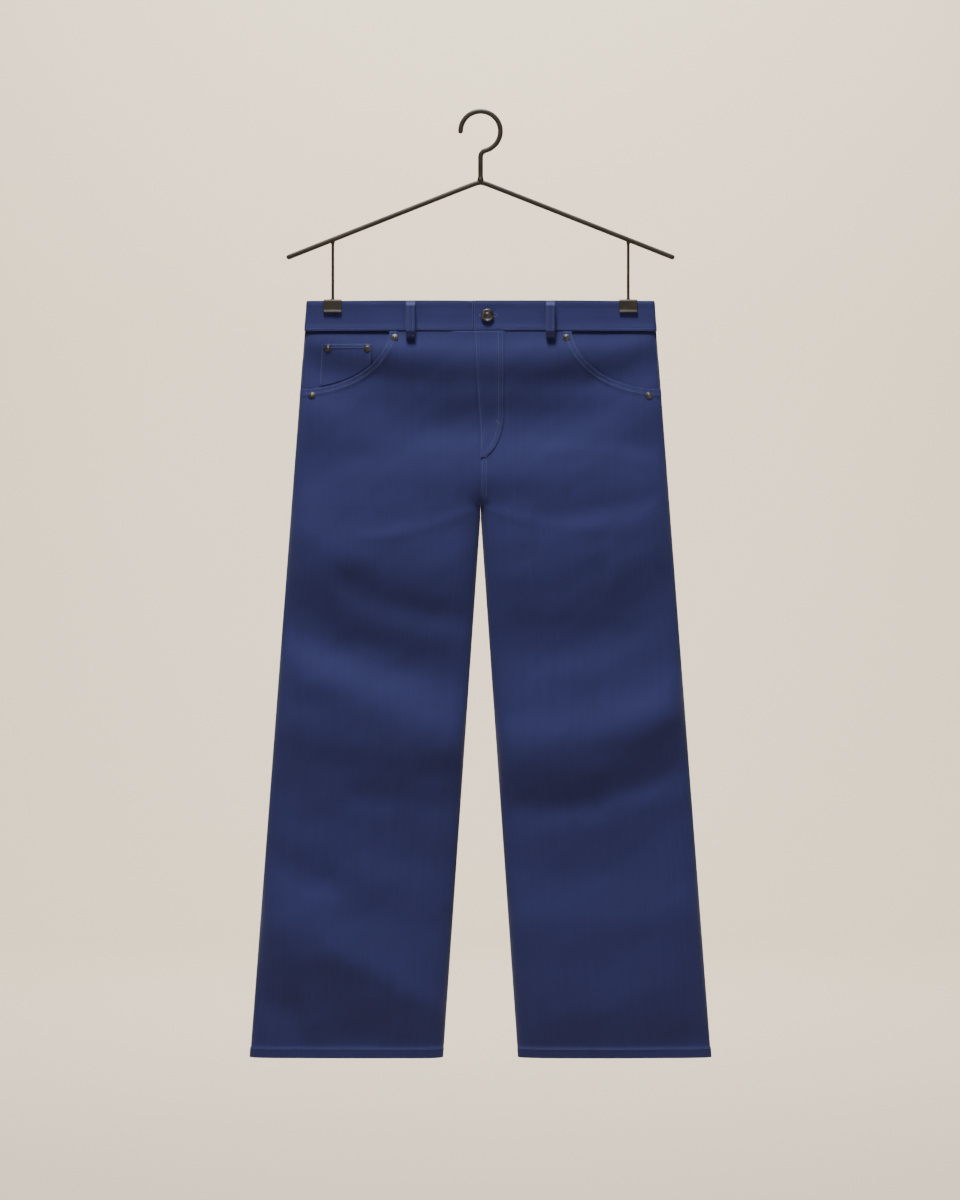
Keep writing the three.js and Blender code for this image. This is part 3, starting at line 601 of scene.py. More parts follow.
class Finish:
    """A material with one glossy-and-matt shader, built up by node()."""

    def __init__(self, name, **constants):
        self.material = bpy.data.materials.new(name)
        self.material.use_nodes = True
        self.tree = self.material.node_tree
        self.shader = next(n for n in self.tree.nodes if n.type == "BSDF_PRINCIPLED")
        for socket, value in constants.items():
            self.shader.inputs[socket.replace("_", " ")].default_value = value

    def node(self, kind, settings=None, sockets=None, out=0):
        """A node of this kind, its settings made first, then its sockets set or linked."""
        made = self.tree.nodes.new(kind)
        for key, value in (settings or {}).items():
            setattr(made, key, value)
        for key, value in (sockets or {}).items():
            if isinstance(value, Value):
                self.tree.links.new(value.socket, made.inputs[key])
            else:
                made.inputs[key].default_value = value
        return Value(self, made.outputs[out])

    def drive(self, socket, value):
        self.tree.links.new(value.socket, self.shader.inputs[socket])

    def colour(self, share, first, second):
        """Colour from first at 0 to second at 1; either may be a colour or a Value."""
        sockets = {0: share, 6: first, 7: second}
        return self.node("ShaderNodeMix", {"data_type": "RGBA"}, sockets, out=2)

    def place(self):
        return self.node("ShaderNodeTexCoord", out=3)

    def flat(self):
        """u and v on the flat cloth, in metres."""
        uv = self.node("ShaderNodeUVMap", {"uv_map": "cloth"})
        split = self.node("ShaderNodeSeparateXYZ", None, {0: uv})
        return uv, split, Value(self, split.socket.node.outputs[1])

    def mark(self, name):
        settings = {"attribute_type": "GEOMETRY", "attribute_name": name}
        return self.node("ShaderNodeAttribute", settings, out=2)

    def scaled(self, place, x, y, z):
        sockets = {"Vector": place, "Scale": (x, y, z)}
        return self.node("ShaderNodeMapping", None, sockets)

    def noise(self, place, scale, detail=2.0, roughness=0.5):
        sockets = {"Vector": place, "Scale": scale, "Detail": detail, "Roughness": roughness}
        return self.node("ShaderNodeTexNoise", None, sockets)

    def bump(self, height, distance, strength=1.0):
        sockets = {"Height": height, "Distance": distance, "Strength": strength}
        self.drive("Normal", self.node("ShaderNodeBump", None, sockets))


# Spacing of the twill's wales across and down the cloth, and of its picks, in metres.
WALE_ACROSS, WALE_DOWN, PICK = 0.00152, 0.00248, 0.00062


def shade(red, green, blue):
    """A colour given as it is seen, 0 to 255, in the straight light the shader works in."""
    seen = np.array([red, green, blue]) / 255
    straight = np.where(seen > 0.04045, ((seen + 0.055) / 1.055) ** 2.4, seen / 12.92)
    return (*straight.tolist(), 1.0)


def raw_denim():
    """Unwashed indigo twill: steep wales a millimetre and a half apart as the sine of u less v,
    streaky uneven warp yarns, the pale weft just showing between wales, its full paleness on
    the inside, and puckers where it is sewn."""
    finish = Finish(
        "raw_denim",
        Specular_IOR_Level=0.28,
        Sheen_Weight=0.16,
        Sheen_Roughness=0.45,
        Sheen_Tint=(0.55, 0.62, 0.9, 1.0),
    )
    uv, u, v = finish.flat()
    wale = (u * (ROUND / WALE_ACROSS) - v * (ROUND / WALE_DOWN)).sine() * 0.5 + 0.5
    pick = (v * (ROUND / PICK)).sine() * 0.5 + 0.5
    slub = finish.noise(finish.scaled(uv, 1500, 26, 1), 1.0, 2.0)
    streak = finish.noise(finish.scaled(uv, 240, 5, 1), 1.0, 3.0)
    cloud = finish.noise(finish.place(), 7.0, 3.0, 0.55)
    tone = finish.mark("tone")
    seam = finish.mark("seam")
    inner = finish.mark("inner")
    depth_of_dye = (
        slub.between(0.25, 0.75) * 0.3
        + streak.between(0.3, 0.7) * 0.16
        + cloud.between(0.3, 0.7) * 0.14
        + tone * 0.3
        + wale * 0.16
    )
    face = finish.colour(depth_of_dye, shade(16, 19, 61), shade(31, 36, 92))
    weft = (1 - wale) ** 3.0 * pick * 0.13
    face = finish.colour(weft, face, shade(92, 96, 126))
    face = finish.colour(seam * streak.between(0.35, 0.65) * 0.16, face, shade(56, 66, 112))
    back = finish.colour(wale * 0.5 + slub * 0.4, shade(150, 153, 162), shade(88, 95, 124))
    finish.drive("Base Color", finish.colour(inner, face, back))
    finish.drive("Roughness", 0.74 + 0.14 * slub + 0.06 * (1 - wale))
    pucker = finish.noise(finish.scaled(uv, 95, 95, 1), 1.0, 2.0)
    height = wale * 0.55 + pick * 0.12 + slub * 0.4 + streak * 0.5 + pucker * seam * 5.0
    finish.bump(height, 0.00016, 0.9)
    return finish.material


def indigo_thread():
    """Sewing thread dyed to the cloth, a shade lighter, with the twist showing as fine slants."""
    finish = Finish("indigo_thread", Specular_IOR_Level=0.4, Sheen_Weight=0.1)
    place = finish.place()
    fleck = finish.noise(place, 900.0, 1.0)
    shift = finish.noise(place, 30.0, 2.0)
    dye = fleck.between(0.3, 0.7) * 0.6 + shift.between(0.3, 0.7) * 0.4
    finish.drive("Base Color", finish.colour(dye, shade(42, 50, 90), shade(62, 72, 114)))
    finish.drive("Roughness", 0.5 + 0.2 * fleck)
    finish.bump(fleck, 0.00008)
    return finish.material


def coated_steel():
    """Satin brown-black lacquer over drawn steel: faint orange peel and thin patches."""
    finish = Finish(
        "coated_steel",
        Metallic=0.1,
        Specular_IOR_Level=0.3,
        Coat_Weight=0.08,
        Coat_Roughness=0.4,
    )
    place = finish.place()
    peel = finish.noise(place, 420.0, 2.0)
    patch = finish.noise(place, 34.0, 4.0, 0.6)
    wear = patch.between(0.35, 0.7) * 0.7 + peel * 0.3
    finish.drive("Base Color", finish.colour(wear, shade(26, 23, 18), shade(46, 41, 33)))
    finish.drive("Roughness", 0.46 + 0.2 * patch)
    finish.bump(peel * 0.6 + patch * 0.6, 0.00006)
    return finish.material


def gunmetal():
    """Darkened metal of the button and rivets: brushed faintly, brighter where it is rubbed."""
    finish = Finish("gunmetal", Metallic=0.9)
    place = finish.place()
    grain = finish.noise(finish.scaled(place, 300, 300, 2600), 1.0, 2.0)
    rub = finish.noise(place, 160.0, 3.0, 0.6)
    lift = rub.between(0.4, 0.75) * 0.6 + grain * 0.3
    finish.drive("Base Color", finish.colour(lift, shade(52, 50, 52), shade(112, 108, 106)))
    finish.drive("Roughness", 0.3 + 0.2 * rub)
    finish.bump(grain, 0.00004)
    return finish.material


DENIM_CLOTH = raw_denim()
THREAD = indigo_thread()
STEEL = coated_steel()
METAL = gunmetal()


def finish_piece(piece, material, slot, *nodes):
    """Gives a piece its material and hides the CAD nodes that it stands for; slot is not used."""
    piece.data.materials.append(material)
    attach(piece, "root")
    if nodes:
        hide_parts(*nodes)
    return piece


def flat_cloth(grid, hand, lengthwise=False):
    """Place on the flat cloth: the level length of each row from its last column, and the upright
    length of each column from its last row. hand keeps the twill's slant alike on every piece,
    and lengthwise lays the cloth's length along the rows."""
    level = np.linalg.norm(np.diff(grid[..., :2], axis=1), axis=-1)
    upright = np.linalg.norm(np.diff(grid[..., 1:], axis=0), axis=-1)
    across = hand * np.pad(np.cumsum(level[:, ::-1], 1)[:, ::-1], ((0, 0), (0, 1)))
    down = np.pad(np.cumsum(upright[::-1], 0)[::-1], ((0, 1), (0, 0)))
    return np.stack([down, across] if lengthwise else [across, down], -1)


def denim(
    node, outside, inside, seam,
    hand=1, lengthwise=False, tone=0.5, rounding=0.5, hangs=("denim_waistband",),
):
    """A denim piece in place of its node."""
    marks = {
        "seam": seam + np.zeros(outside.shape[:2]),
        "inner": np.zeros(outside.shape[:2]),
        "tone": np.full(outside.shape[:2], tone),
    }
    uv = flat_cloth(outside, hand, lengthwise)
    piece = wall("denim_" + node, outside, inside, rounding, uv, marks)
    count = outside.shape[0] * outside.shape[1]
    inner = np.zeros(len(piece.data.vertices), np.float32)
    inner[count : 2 * count] = 1
    piece.data.attributes["inner"].data.foreach_set("value", inner)
    finish_piece(piece, DENIM_CLOTH, "denim", node)
    diagonals = outside[1:, 1:] - outside[:-1, :-1], outside[1:, :-1] - outside[:-1, 1:]
    list(hangs)
    return piece


# ---- leg panels ----
# Columns from the side seam to the inner edge, and heights of the rows, which are closer
# together at the end of the pocket mouth, at the crotch and over the hem.
ACROSS = np.linspace(0, 1, 80)
MOUTH_FOOT = PANEL_TOP - MOUTH_DEEP
MOUTH_END = [71.5, 72.8, 73.9, 74.8, 75.5, MOUTH_DEEP]
MOUTH_ROWS = PANEL_TOP - np.concatenate([np.linspace(0, 70, 30), MOUTH_END])
UNDER_MOUTH = np.linspace(MOUTH_FOOT, MOUTH_FOOT - 16, 15)
HIP = np.linspace(MOUTH_FOOT - 16, TRUNK_END, 34)
CLOSING = mix(CROTCH_Z, TRUNK_END, np.linspace(1, 0, 15) ** 1.5)[1:]
HEM_TOP = HEM_Z + HEM_HEIGHT
LEG = np.linspace(CROTCH_Z, HEM_TOP, 190)[1:]
HEM_ROWS = HEM_TOP - np.array([0.4, 0.9, 1.6, 4.0, 7.0, 10.0, 12.4, 13.3, 14.0])
BELOW_TRUNK = np.concatenate([CLOSING, LEG, HEM_ROWS])
BELOW_MOUTH = np.concatenate([UNDER_MOUTH[1:], HIP[1:], BELOW_TRUNK])
# A distance past every row's puckers.
FAR = 99


def from_mouth(x, z):
    """Distance outside the pocket mouth's quarter ellipse, to first order."""
    across, down = (section(z)[0] - np.abs(x)) / MOUTH_WIDE, (PANEL_TOP - z) / MOUTH_DEEP
    reach = np.hypot(across, down)
    slope = np.hypot(across / MOUTH_WIDE, down / MOUTH_DEEP)
    return (reach - 1) * reach / np.maximum(slope, 1e-6)


def mouth_line(share, off):
    """The pocket mouth's edge moved off it: a quarter ellipse from the waistband to the side seam."""
    z = PANEL_TOP - (MOUTH_DEEP + off) * np.sin(share * math.pi / 2)
    return section(z)[0] - (MOUTH_WIDE + off) * np.cos(share * math.pi / 2), z


def hem_lift(z):
    """The turned-up hem stands out by HEM_RISE, by a smooth step over its first millimetre."""
    return HEM_RISE * smooth((HEM_TOP - z) / 1.0)


def panel(node, side, face, turn, z, lift, rows, tone, **where):
    """A panel of whole cloth: its face moved out by lift, its inside DENIM in, and puckers along
    its rows, which are distances to each row of stitching."""
    return denim(
        node,
        panel_point(side, face, turn, z, lift),
        panel_point(side, face, turn, z, -DENIM),
        beside(rows, 4.5),
        hand=side * face,
        tone=tone,
        **where,
    )


def front_panel(name, side):
    """Level rows from the waistband to the hem. Beside the pocket mouth the first column starts
    on its edge, and its start dies away across the panel as a power of the way left. The left
    one laps over at the middle below the fly."""
    down = (PANEL_TOP - MOUTH_ROWS) / MOUTH_DEEP
    x_mouth = section(MOUTH_ROWS)[0] - MOUTH_WIDE * np.sqrt(1 - down * down)
    first = np.concatenate([turn_at(x_mouth, MOUTH_ROWS), np.zeros(len(BELOW_MOUTH))])[:, None]
    crowding = np.minimum(9, 0.85 / np.maximum(first, 0.01))
    turn = ACROSS + first * (1 - ACROSS) ** crowding
    z = np.concatenate([MOUTH_ROWS, BELOW_MOUTH])[:, None] + 0 * ACROSS
    x = along_turn(turn, z)
    mouth = from_mouth(x, z)
    in_leg = z < CROTCH_Z
    lift = ridge(mouth, MOUTH_FOLD, MOUTH_HIGH) * (z > MOUTH_FOOT - 12) + hem_lift(z)
    rows = [mouth - off for off in MOUTH_PUCKERS]
    rows += [z - HEM_Z - HEM_SEWN, np.where(in_leg, edge_distance(x, section(z)[1]), FAR)]
    if side == LEFT:
        below_fly = smooth((PANEL_TOP - FLY_DEEP + 6 - z) / 6) * (z > CROTCH_Z)
        lift = lift + ridge(x, SEAT_FOLD, SEAT_HIGH) * below_fly * smooth((z - CROTCH_Z) / 14)
        rows += [np.where(in_leg, FAR, x - SEAT_PUCKER)]
    return panel("front_" + name, side, FRONT, turn, z, lift, rows, 0.5 + 0.02 * side)


def back_panel(name, side):
    """Rows that run from the yoke's slanting seam over to level ones at the crotch. It laps over
    the front along the inseam, and the left one over the right along the middle."""
    top = yoke_seam(along_turn(ACROSS, PANEL_TOP)) + LAPPED
    share = np.concatenate([[0, 0.006], np.linspace(0.02, 1, 44)])[:, None]
    z = np.vstack([mix(top[None], TRUNK_END, share), BELOW_TRUNK[:, None] + 0 * ACROSS])
    turn = ACROSS + 0 * z
    x = along_turn(turn, z)
    outer, inner = section(z)
    in_leg = z < CROTCH_Z
    inseam = np.where(in_leg, edge_distance(x, inner), FAR)
    lift = ridge(inseam, FELL_FOLD, FELL_HIGH) * smooth((CROTCH_Z - z) / 16)
    lift = lift * (1 - smooth((HEM_TOP + 4 - z) / 4))
    lift = lift + ridge(edge_distance(x, outer), SIDE_FOLD, SIDE_HIGH) + hem_lift(z)
    rows = [z - HEM_Z - HEM_SEWN, *(inseam - off for off in FELL_SEWN)]
    if side == LEFT:
        lift = lift + ridge(x, FELL_FOLD, FELL_HIGH) * smooth((z - CROTCH_Z - 4) / 14)
        rows += [np.where(in_leg, FAR, x - off) for off in FELL_SEWN]
    hangs = ["denim_yoke_" + name]
    return panel("back_" + name, side, BACK, turn, z, lift, rows, 0.5 - 0.02 * side, hangs=hangs)


def yoke(name, side):
    """Rows that slant evenly from the level waistband to the yoke's lower seam, over which it is
    lapped, and the left yoke over the right along the middle."""
    share = np.linspace(0, 1, 22)[:, None]
    z = mix(PANEL_TOP, yoke_seam(along_turn(ACROSS, PANEL_TOP)), share)
    turn = ACROSS + 0 * z
    x = along_turn(turn, z)
    above_seam = z - yoke_seam(x)
    lift = ridge(above_seam, FELL_FOLD, FELL_HIGH) * seam_dies(x, z)
    rows = [above_seam - off for off in FELL_SEWN]
    if side == LEFT:
        lift = np.maximum(lift, ridge(x, FELL_FOLD, FELL_HIGH))
        rows += [x - off for off in FELL_SEWN]
    return panel("yoke_" + name, side, BACK, turn, z, lift, rows, 0.56)


# ---- waistband, fly and pockets ----
def waistband():
    """The ring cut open at the lap. Near each edge it is rolled by a bell, with a groove along
    the stitches, and it drifts in and out by a slow wave."""
    angle = np.linspace(BAND_START, BAND_END, 330)
    foot = BAND_HEIGHT + GAP + LAPPED
    z = WAIST_Z - np.concatenate([[0, 0.9], np.linspace(2, foot - 2, 15), [foot - 0.9, foot]])
    z = z[:, None] + 0 * angle
    into = np.minimum(WAIST_Z - z, z - WAIST_Z + BAND_HEIGHT)
    groove = 0.12 * np.exp(-(((into - BAND_SEWN) / 1.1) ** 2))
    roll = 0.28 * np.exp(-(((into - 5.5) / 3.2) ** 2)) - groove
    drift = 0.22 * np.sin(angle * 23 + z * 0.06) * np.sin(angle * 9.7)
    lift = BAND_PROUD + roll + drift * smooth(into / 12)
    return denim(
        "waistband",
        band_point(angle, z, lift),
        band_point(angle, z, BAND_PROUD - BAND_WALL),
        beside([into - BAND_SEWN], 4.0),
        lengthwise=True,
        tone=0.6,
        rounding=1.2,
        hangs=["steel_clip_right", "steel_clip_left"],
    )


def fly_edges(down):
    """The placket's free edge, and its sewn edge, which comes in as a quarter ellipse."""
    bend = np.maximum(0, (down * FLY_DEEP - FLY_DEEP + FLY_CURVE) / FLY_CURVE)
    edge = mix(LAP_EDGE_X, 0, smooth(down))
    return edge, mix(edge, LAP_EDGE_X + FLY_WIDE, np.sqrt(np.maximum(0, 1 - bend * bend)))


def fly_point(across, down, lift):
    """across is 0 at the free edge and 1 at the sewn one, down 0 at the waistband and 1 below."""
    edge, far = fly_edges(down)
    return face_point(FRONT, mix(edge, far, across), PANEL_TOP - down * FLY_DEEP, lift)


def fly():
    """The placket: even rows, then closer ones by a sine towards the point at its foot. Its sewn
    edge is turned under, so that its face and inside come down there by a smooth step."""
    across = np.linspace(0, 1, 24)
    foot = 0.64 + 0.356 * np.sin(np.linspace(0.05, 1, 26) * math.pi / 2)
    down = np.concatenate([np.linspace(0, 0.64, 34), foot])[:, None] + 0 * across
    edge, far = fly_edges(down)
    to_sewn, to_free = (1 - across) * (far - edge), across * (far - edge)
    settled = smooth(to_sewn / FLY_SETTLES)
    return denim(
        "fly",
        fly_point(across, down, mix(FLY_EDGE_OUT, FLY_OUT, settled)),
        fly_point(across, down, mix(FLY_EDGE_UNDER, LIE, settled)),
        beside([*(to_sewn - off for off in FLY_SEWN), to_free - FLY_FREE_SEWN], 3.6),
    )


def facing(name, side):
    """The patch behind the pocket mouth, 7 of the panel's 13 columns in the solids: level rows,
    the front panel's section moved inwards."""
    turn = np.linspace(0, 7 / 13, 44)
    z = np.linspace(PANEL_TOP, mix(PANEL_TOP, TRUNK_END, 0.5), 34)[:, None] + 0 * turn
    inward = -(DENIM + GAP)
    return denim(
        "pocket_facing_" + name,
        panel_point(side, FRONT, turn, z, inward),
        panel_point(side, FRONT, turn, z, inward - PATCH),
        np.zeros(z.shape),
        hand=-side,
        tone=0.4,
    )


COIN_TOP = PANEL_TOP - COIN_BELOW
COIN_EDGES = SIDE_X - COIN_FROM_SIDE, SIDE_X - COIN_FROM_SIDE - COIN_WIDE
COIN_TURNS = tuple(turn_at(x, PANEL_TOP) for x in COIN_EDGES)


def coin_point(across, below, lift, share=1.0):
    """A point on the coin pocket: below its top, then share of the way from there down to just
    inside the mouth's edge, which five steps find since its place depends on the height."""
    turn = mix(*COIN_TURNS, across)
    low = PANEL_TOP - MOUTH_DEEP / 2 + 0 * turn
    for _ in range(5):
        over = np.clip((section(low)[0] - along_turn(turn, low)) / MOUTH_WIDE, 0, 1)
        low = PANEL_TOP + 0.6 - MOUTH_DEEP * np.sqrt(1 - over**2)
    z = mix(COIN_TOP - below, low, share)
    return panel_point(RIGHT, FRONT, turn, z, lift)


def coin_pocket():
    """A patch on the facing: rows over its hem, which stands out by a step, then even ones down
    to the mouth's edge."""
    across = np.linspace(0, 1, 30)
    hem = np.array([0, 0.6, 1.5, 3, 4.5, 5.9, COIN_HEM, COIN_HEM + 0.6, COIN_HEM + 1.2])
    below = np.concatenate([hem, np.full(22, hem[-1])])[:, None]
    share = np.concatenate([np.zeros(len(hem)), np.linspace(0, 1, 23)[1:]])[:, None]
    out = COIN_OUT + COIN_HIGH * (below < COIN_HEM + 0.1)
    rows = [side * COIN_WIDE - COIN_SIDE_SEWN for side in (across, 1 - across)]
    rows += [below + 40 * share - COIN_PUCKER]
    return denim(
        "coin_pocket",
        coin_point(across, below, out, share),
        coin_point(across, below, -DENIM, share),
        beside(rows, 3.5),
        tone=0.55,
        rounding=0.4,
        hangs=["denim_pocket_facing_right"],
    )


def pocket_point(side, across, down, lift):
    """A five-sided patch: across from -1 to 1 narrows as it goes down, and its length grows
    evenly towards the point at its middle."""
    x = side * POCKET_X + across * (POCKET_HALF - POCKET_TAPER * down)
    top = POCKET_TOP + POCKET_TILT * (np.abs(x) - POCKET_X)
    length = POCKET_TALL + POCKET_POINT * (1 - np.abs(across))
    return face_point(BACK, x, top - down * length, lift)


def back_pocket(name, side):
    """The patch, whose face inside its turned-in edges and hem lies lower by a smooth step."""
    across, down = np.linspace(-1, 1, 61), np.linspace(0, 1, 58)[:, None]
    from_side = (1 - np.abs(across)) * POCKET_HALF
    from_top, from_foot = down * POCKET_TALL, (1 - down) * POCKET_TALL
    edge = np.minimum(from_side, from_foot)
    inside = smooth((edge - POCKET_FOLD) / 2.5) * smooth((from_top - POCKET_HEM) / 2)
    rows = [edge - off for off in POCKET_SEWN] + [from_top - off for off in POCKET_HEM_SEWN]
    return denim(
        "back_pocket_" + name,
        pocket_point(side, across, down, POCKET_OUT - POCKET_HIGH * inside),
        pocket_point(side, across, down, POCKET_UNDER),
        beside(rows, 3.6),
        hand=-1,
        tone=0.62,
        hangs=["denim_back_" + name],
    )


LOOPS = (
    ("front_right", -92, FRONT),
    ("front_left", 92, FRONT),
    ("back_right", -148, BACK),
    ("back_left", 148, BACK),
    ("centre_back", 0, BACK),
)


def loop_point(x, face, across, down, lift):
    """A strip that lies on the cloth at both ends and stands off it between them, by a smooth
    step over LOOP_BEND of its length at either end."""
    stand = LOOP_STAND * smooth(down / LOOP_BEND) * smooth((1 - down) / LOOP_BEND)
    rest = mix(BAND_PROUD + GAP, 0.25, smooth((down - 0.82) / 0.12))
    z = mix(LOOP_TOP, LOOP_BOTTOM, down)
    return face_point(face, x + across * LOOP_HALF, z, stand + rest + lift)


def belt_loop(name, x, face):
    """A folded strip, crowned as across squared, with a groove by a bell along each row."""
    across, down = np.linspace(-1, 1, 15), np.linspace(0, 1, 70)[:, None]
    from_row = np.abs(across) - LOOP_SEWN
    crown = 0.3 * (1 - across**2) - 0.18 * np.exp(-((from_row / 0.12) ** 2))
    return denim(
        "belt_loop_" + name,
        loop_point(x, face, across, down, LOOP_WALL + crown),
        loop_point(x, face, across, down, 0),
        beside([from_row * LOOP_HALF], 1.4) + 0 * down,
        hand=-face,
        tone=0.6,
        rounding=0.7,
    )


for word, sign in SIDES:
    front_panel(word, sign)
    back_panel(word, sign)
    yoke(word, sign)
    facing(word, sign)
    back_pocket(word, sign)
waistband()
fly()
coin_pocket()
for word, at_x, at_face in LOOPS:
    belt_loop(word, at_x, at_face)


# ---- stitching ----
def line_of(*ends, count=160):
    """Even values from the first end to the last through those between."""
    stops = np.linspace(0, 1, len(ends))
    return np.interp(np.linspace(0, 1, count), stops, ends)


def hem_row(side, face):
    """The row that holds a leg's hem, level with its foot."""
    turn = np.linspace(0.03, 0.985, 260)
    z = HEM_Z + HEM_SEWN + 0 * turn
    return sewn(lambda lift: panel_point(side, face, turn, z, lift + HEM_RISE))


def front_rows():
    """Along the pocket mouths and hems, down the fly and the seam below it, and on the coin
    pocket, then a bar tack at the fly's foot and one where it curves in."""
    for _, side in SIDES:
        for off in MOUTH_SEWN:
            x, z = mouth_line(np.linspace(0.01, 0.955, 160), off)
            yield sewn(lambda lift: face_point(FRONT, side * x, z, lift + MOUTH_HIGH))
        yield hem_row(side, FRONT)
    for off in FLY_SEWN:
        down = np.linspace(0.012, 0.985, 200)
        edge, far = fly_edges(down)
        keep = far - edge > off + 1.5
        down, across = down[keep], 1 - off / (far - edge)[keep]
        out = mix(FLY_EDGE_OUT, FLY_OUT, smooth(off / FLY_SETTLES))
        yield sewn(lambda lift: fly_point(across, down, lift + out))
    down = np.linspace(0.012, 0.93, 160)
    edge, far = fly_edges(down)
    yield sewn(lambda lift: fly_point(FLY_FREE_SEWN / (far - edge), down, lift + FLY_OUT))
    z = np.linspace(PANEL_TOP - FLY_DEEP - 4, CROTCH_Z + 16, 60)
    for off in SEAT_SEWN:
        yield sewn(lambda lift: face_point(FRONT, off, z, lift + SEAT_HIGH))
    across = np.linspace(0.02, 0.98, 80)
    for below in COIN_SEWN:
        yield sewn(lambda lift: coin_point(across, below, lift + COIN_OUT + COIN_HIGH, 0), **FINE)
    share = np.linspace(0.02, 0.98, 60)
    for across in (0.03 + 0 * share, 0.97 + 0 * share):
        yield sewn(lambda lift: coin_point(across, 0, lift + COIN_OUT, share), **FINE)
    foot = PANEL_TOP - FLY_DEEP + 2
    yield sewn(lambda lift: face_point(FRONT, line_of(1, 9), foot, lift + 1.2), **BAR_TACK)
    x, z = line_of(20, 27), line_of(PANEL_TOP - 118, PANEL_TOP - 125)
    yield sewn(lambda lift: face_point(FRONT, x, z, lift + FLY_OUT), **BAR_TACK)


def back_rows():
    """Twin rows along the inseams, the yokes' seams and the middle, a row over each hem and
    beside each hip, and the rows and bar tacks of the pockets."""
    for _, side in SIDES:
        z = np.linspace(CROTCH_Z - 12, HEM_TOP - 3, 400)
        for off in FELL_SEWN:
            turn = turn_at(section(z)[1] + off**2 / (2 * SEAM_RADIUS), z)
            yield sewn(lambda lift: panel_point(side, BACK, turn, z, lift + FELL_HIGH))
        yield hem_row(side, BACK)
        z = np.linspace(PANEL_TOP - 3, PANEL_TOP - 150, 120)
        turn = turn_at(section(z)[0] - 1.1, z)
        yield sewn(lambda lift: panel_point(side, BACK, turn, z, lift + SIDE_HIGH))
        x = np.linspace(1, SIDE_X - 3, 200)
        for off in FELL_SEWN:
            z = yoke_seam(x) + off
            stand = FELL_HIGH * seam_dies(x, z)
            yield sewn(lambda lift: face_point(BACK, side * x, z, lift + stand))
        patch = lambda across, down, lift: pocket_point(side, across, down, lift + POCKET_OUT)
        for off in POCKET_SEWN:
            a, b = off / POCKET_HALF, off / POCKET_TALL
            across = line_of(a - 1, a - 1, 0, 1 - a, 1 - a, count=420)
            down = line_of(0.012, 1 - b, 1 - b * 0.92, 1 - b, 0.012, count=420)
            yield sewn(lambda lift: patch(across, down, lift))
        across = np.linspace(-0.97, 0.97, 180)
        for off in POCKET_HEM_SEWN:
            yield sewn(lambda lift: patch(across, off / POCKET_TALL, lift))
        down = np.linspace(0.01, 0.075, 40)
        for end in (-0.94, 0.94):
            yield sewn(lambda lift: patch(end, down, lift), pitch=0.7, crosswise=True)
    for off in FELL_SEWN:
        for top, low in ((PANEL_TOP - 2, yoke_seam(0) + 10), (yoke_seam(0) - 2, CROTCH_Z + 16)):
            z = np.linspace(top, low, 120)
            yield sewn(lambda lift: face_point(BACK, off, z, lift + FELL_HIGH))


def band_rows():
    """Round the waistband at both edges and up its lapped end, closely round the buttonhole, an
    ellipse, and down both edges of each belt loop with a bar tack at either end."""
    angle = np.linspace(BAND_START + 0.02, BAND_END - 0.01, 900)
    for down in (BAND_SEWN, BAND_HEIGHT - BAND_SEWN):
        z = WAIST_Z - down + 0 * angle
        yield sewn(lambda lift: band_point(angle, z, lift + BAND_PROUD))
    z = np.linspace(WAIST_Z - BAND_SEWN, WAIST_Z - BAND_HEIGHT + BAND_SEWN, 40)
    yield sewn(lambda lift: band_point(BAND_END - 0.012 + 0 * z, z, lift + BAND_PROUD))
    angle = np.linspace(0.01, ROUND - 0.01, 160)
    x = BUTTON_X + HOLE_OFF + HOLE_LONG * np.cos(angle)
    z = BUTTON_Z + HOLE_WIDE * np.sin(angle)
    hole = lambda lift: face_point(FRONT, x, z, lift + BAND_PROUD - 0.1)
    yield sewn(hole, pitch=0.75, length=2.2, crosswise=True)
    for _, x, face in LOOPS:
        strip = lambda across, down, lift: loop_point(x, face, across, down, lift + LOOP_WALL)
        down = np.linspace(0.03, 0.97, 90)
        for across in (-LOOP_SEWN, LOOP_SEWN):
            yield sewn(lambda lift: strip(across, down, lift + 0.05), **FINE)
        across = np.linspace(-0.85, 0.85, 40)
        for down in (0.045, 0.955):
            tack = lambda lift: strip(across, down, lift + 0.2)
            yield sewn(tack, pitch=0.7, length=2.0, crosswise=True)


for where, rows in (("front", front_rows), ("back", back_rows), ("band", band_rows)):
    finish_piece(thread_piece("stitching_" + where, rows()), THREAD, "denim")


# ---- button and rivets ----
def way_out(x, z, lift):
    """A point on the front and the way straight out of the cloth there."""
    foot = face_point(FRONT, x, z, lift)
    return foot, face_point(FRONT, x, z, lift + 1) - foot


def button():
    """A shank, a head with a rolled rim, a dished ring and a low boss at the middle."""
    rim_radius = 1.15
    roll = np.linspace(-0.5, 0.75, 12) * math.pi
    rim = [BUTTON_RADIUS - rim_radius + rim_radius * np.cos(roll), 2.7 + rim_radius * np.sin(roll)]
    rim = np.stack(rim, -1)
    dish = np.linspace(0, 1, 10)[1:]
    hollow = np.stack([mix(rim[-1, 0], 3.4, dish), mix(rim[-1, 1], 3.0, smooth(dish * 1.6))], -1)
    swell = np.linspace(0, math.pi / 2, 8)[1:]
    boss = np.stack([3.2 * np.cos(swell), 3.0 + 0.75 * np.sin(swell)], -1)
    shank = [(0, -0.3), (3.9, -0.3), (3.7, 0.4), (3.7, 1.2), (4.3, 1.5)]
    profile = np.vstack([shank, rim, hollow, boss[:-1], [(0, 3.76)]])
    piece = turned("metal_button", profile, *way_out(BUTTON_X, BUTTON_Z, BAND_PROUD))
    return finish_piece(piece, METAL, "trim", "waist_button")


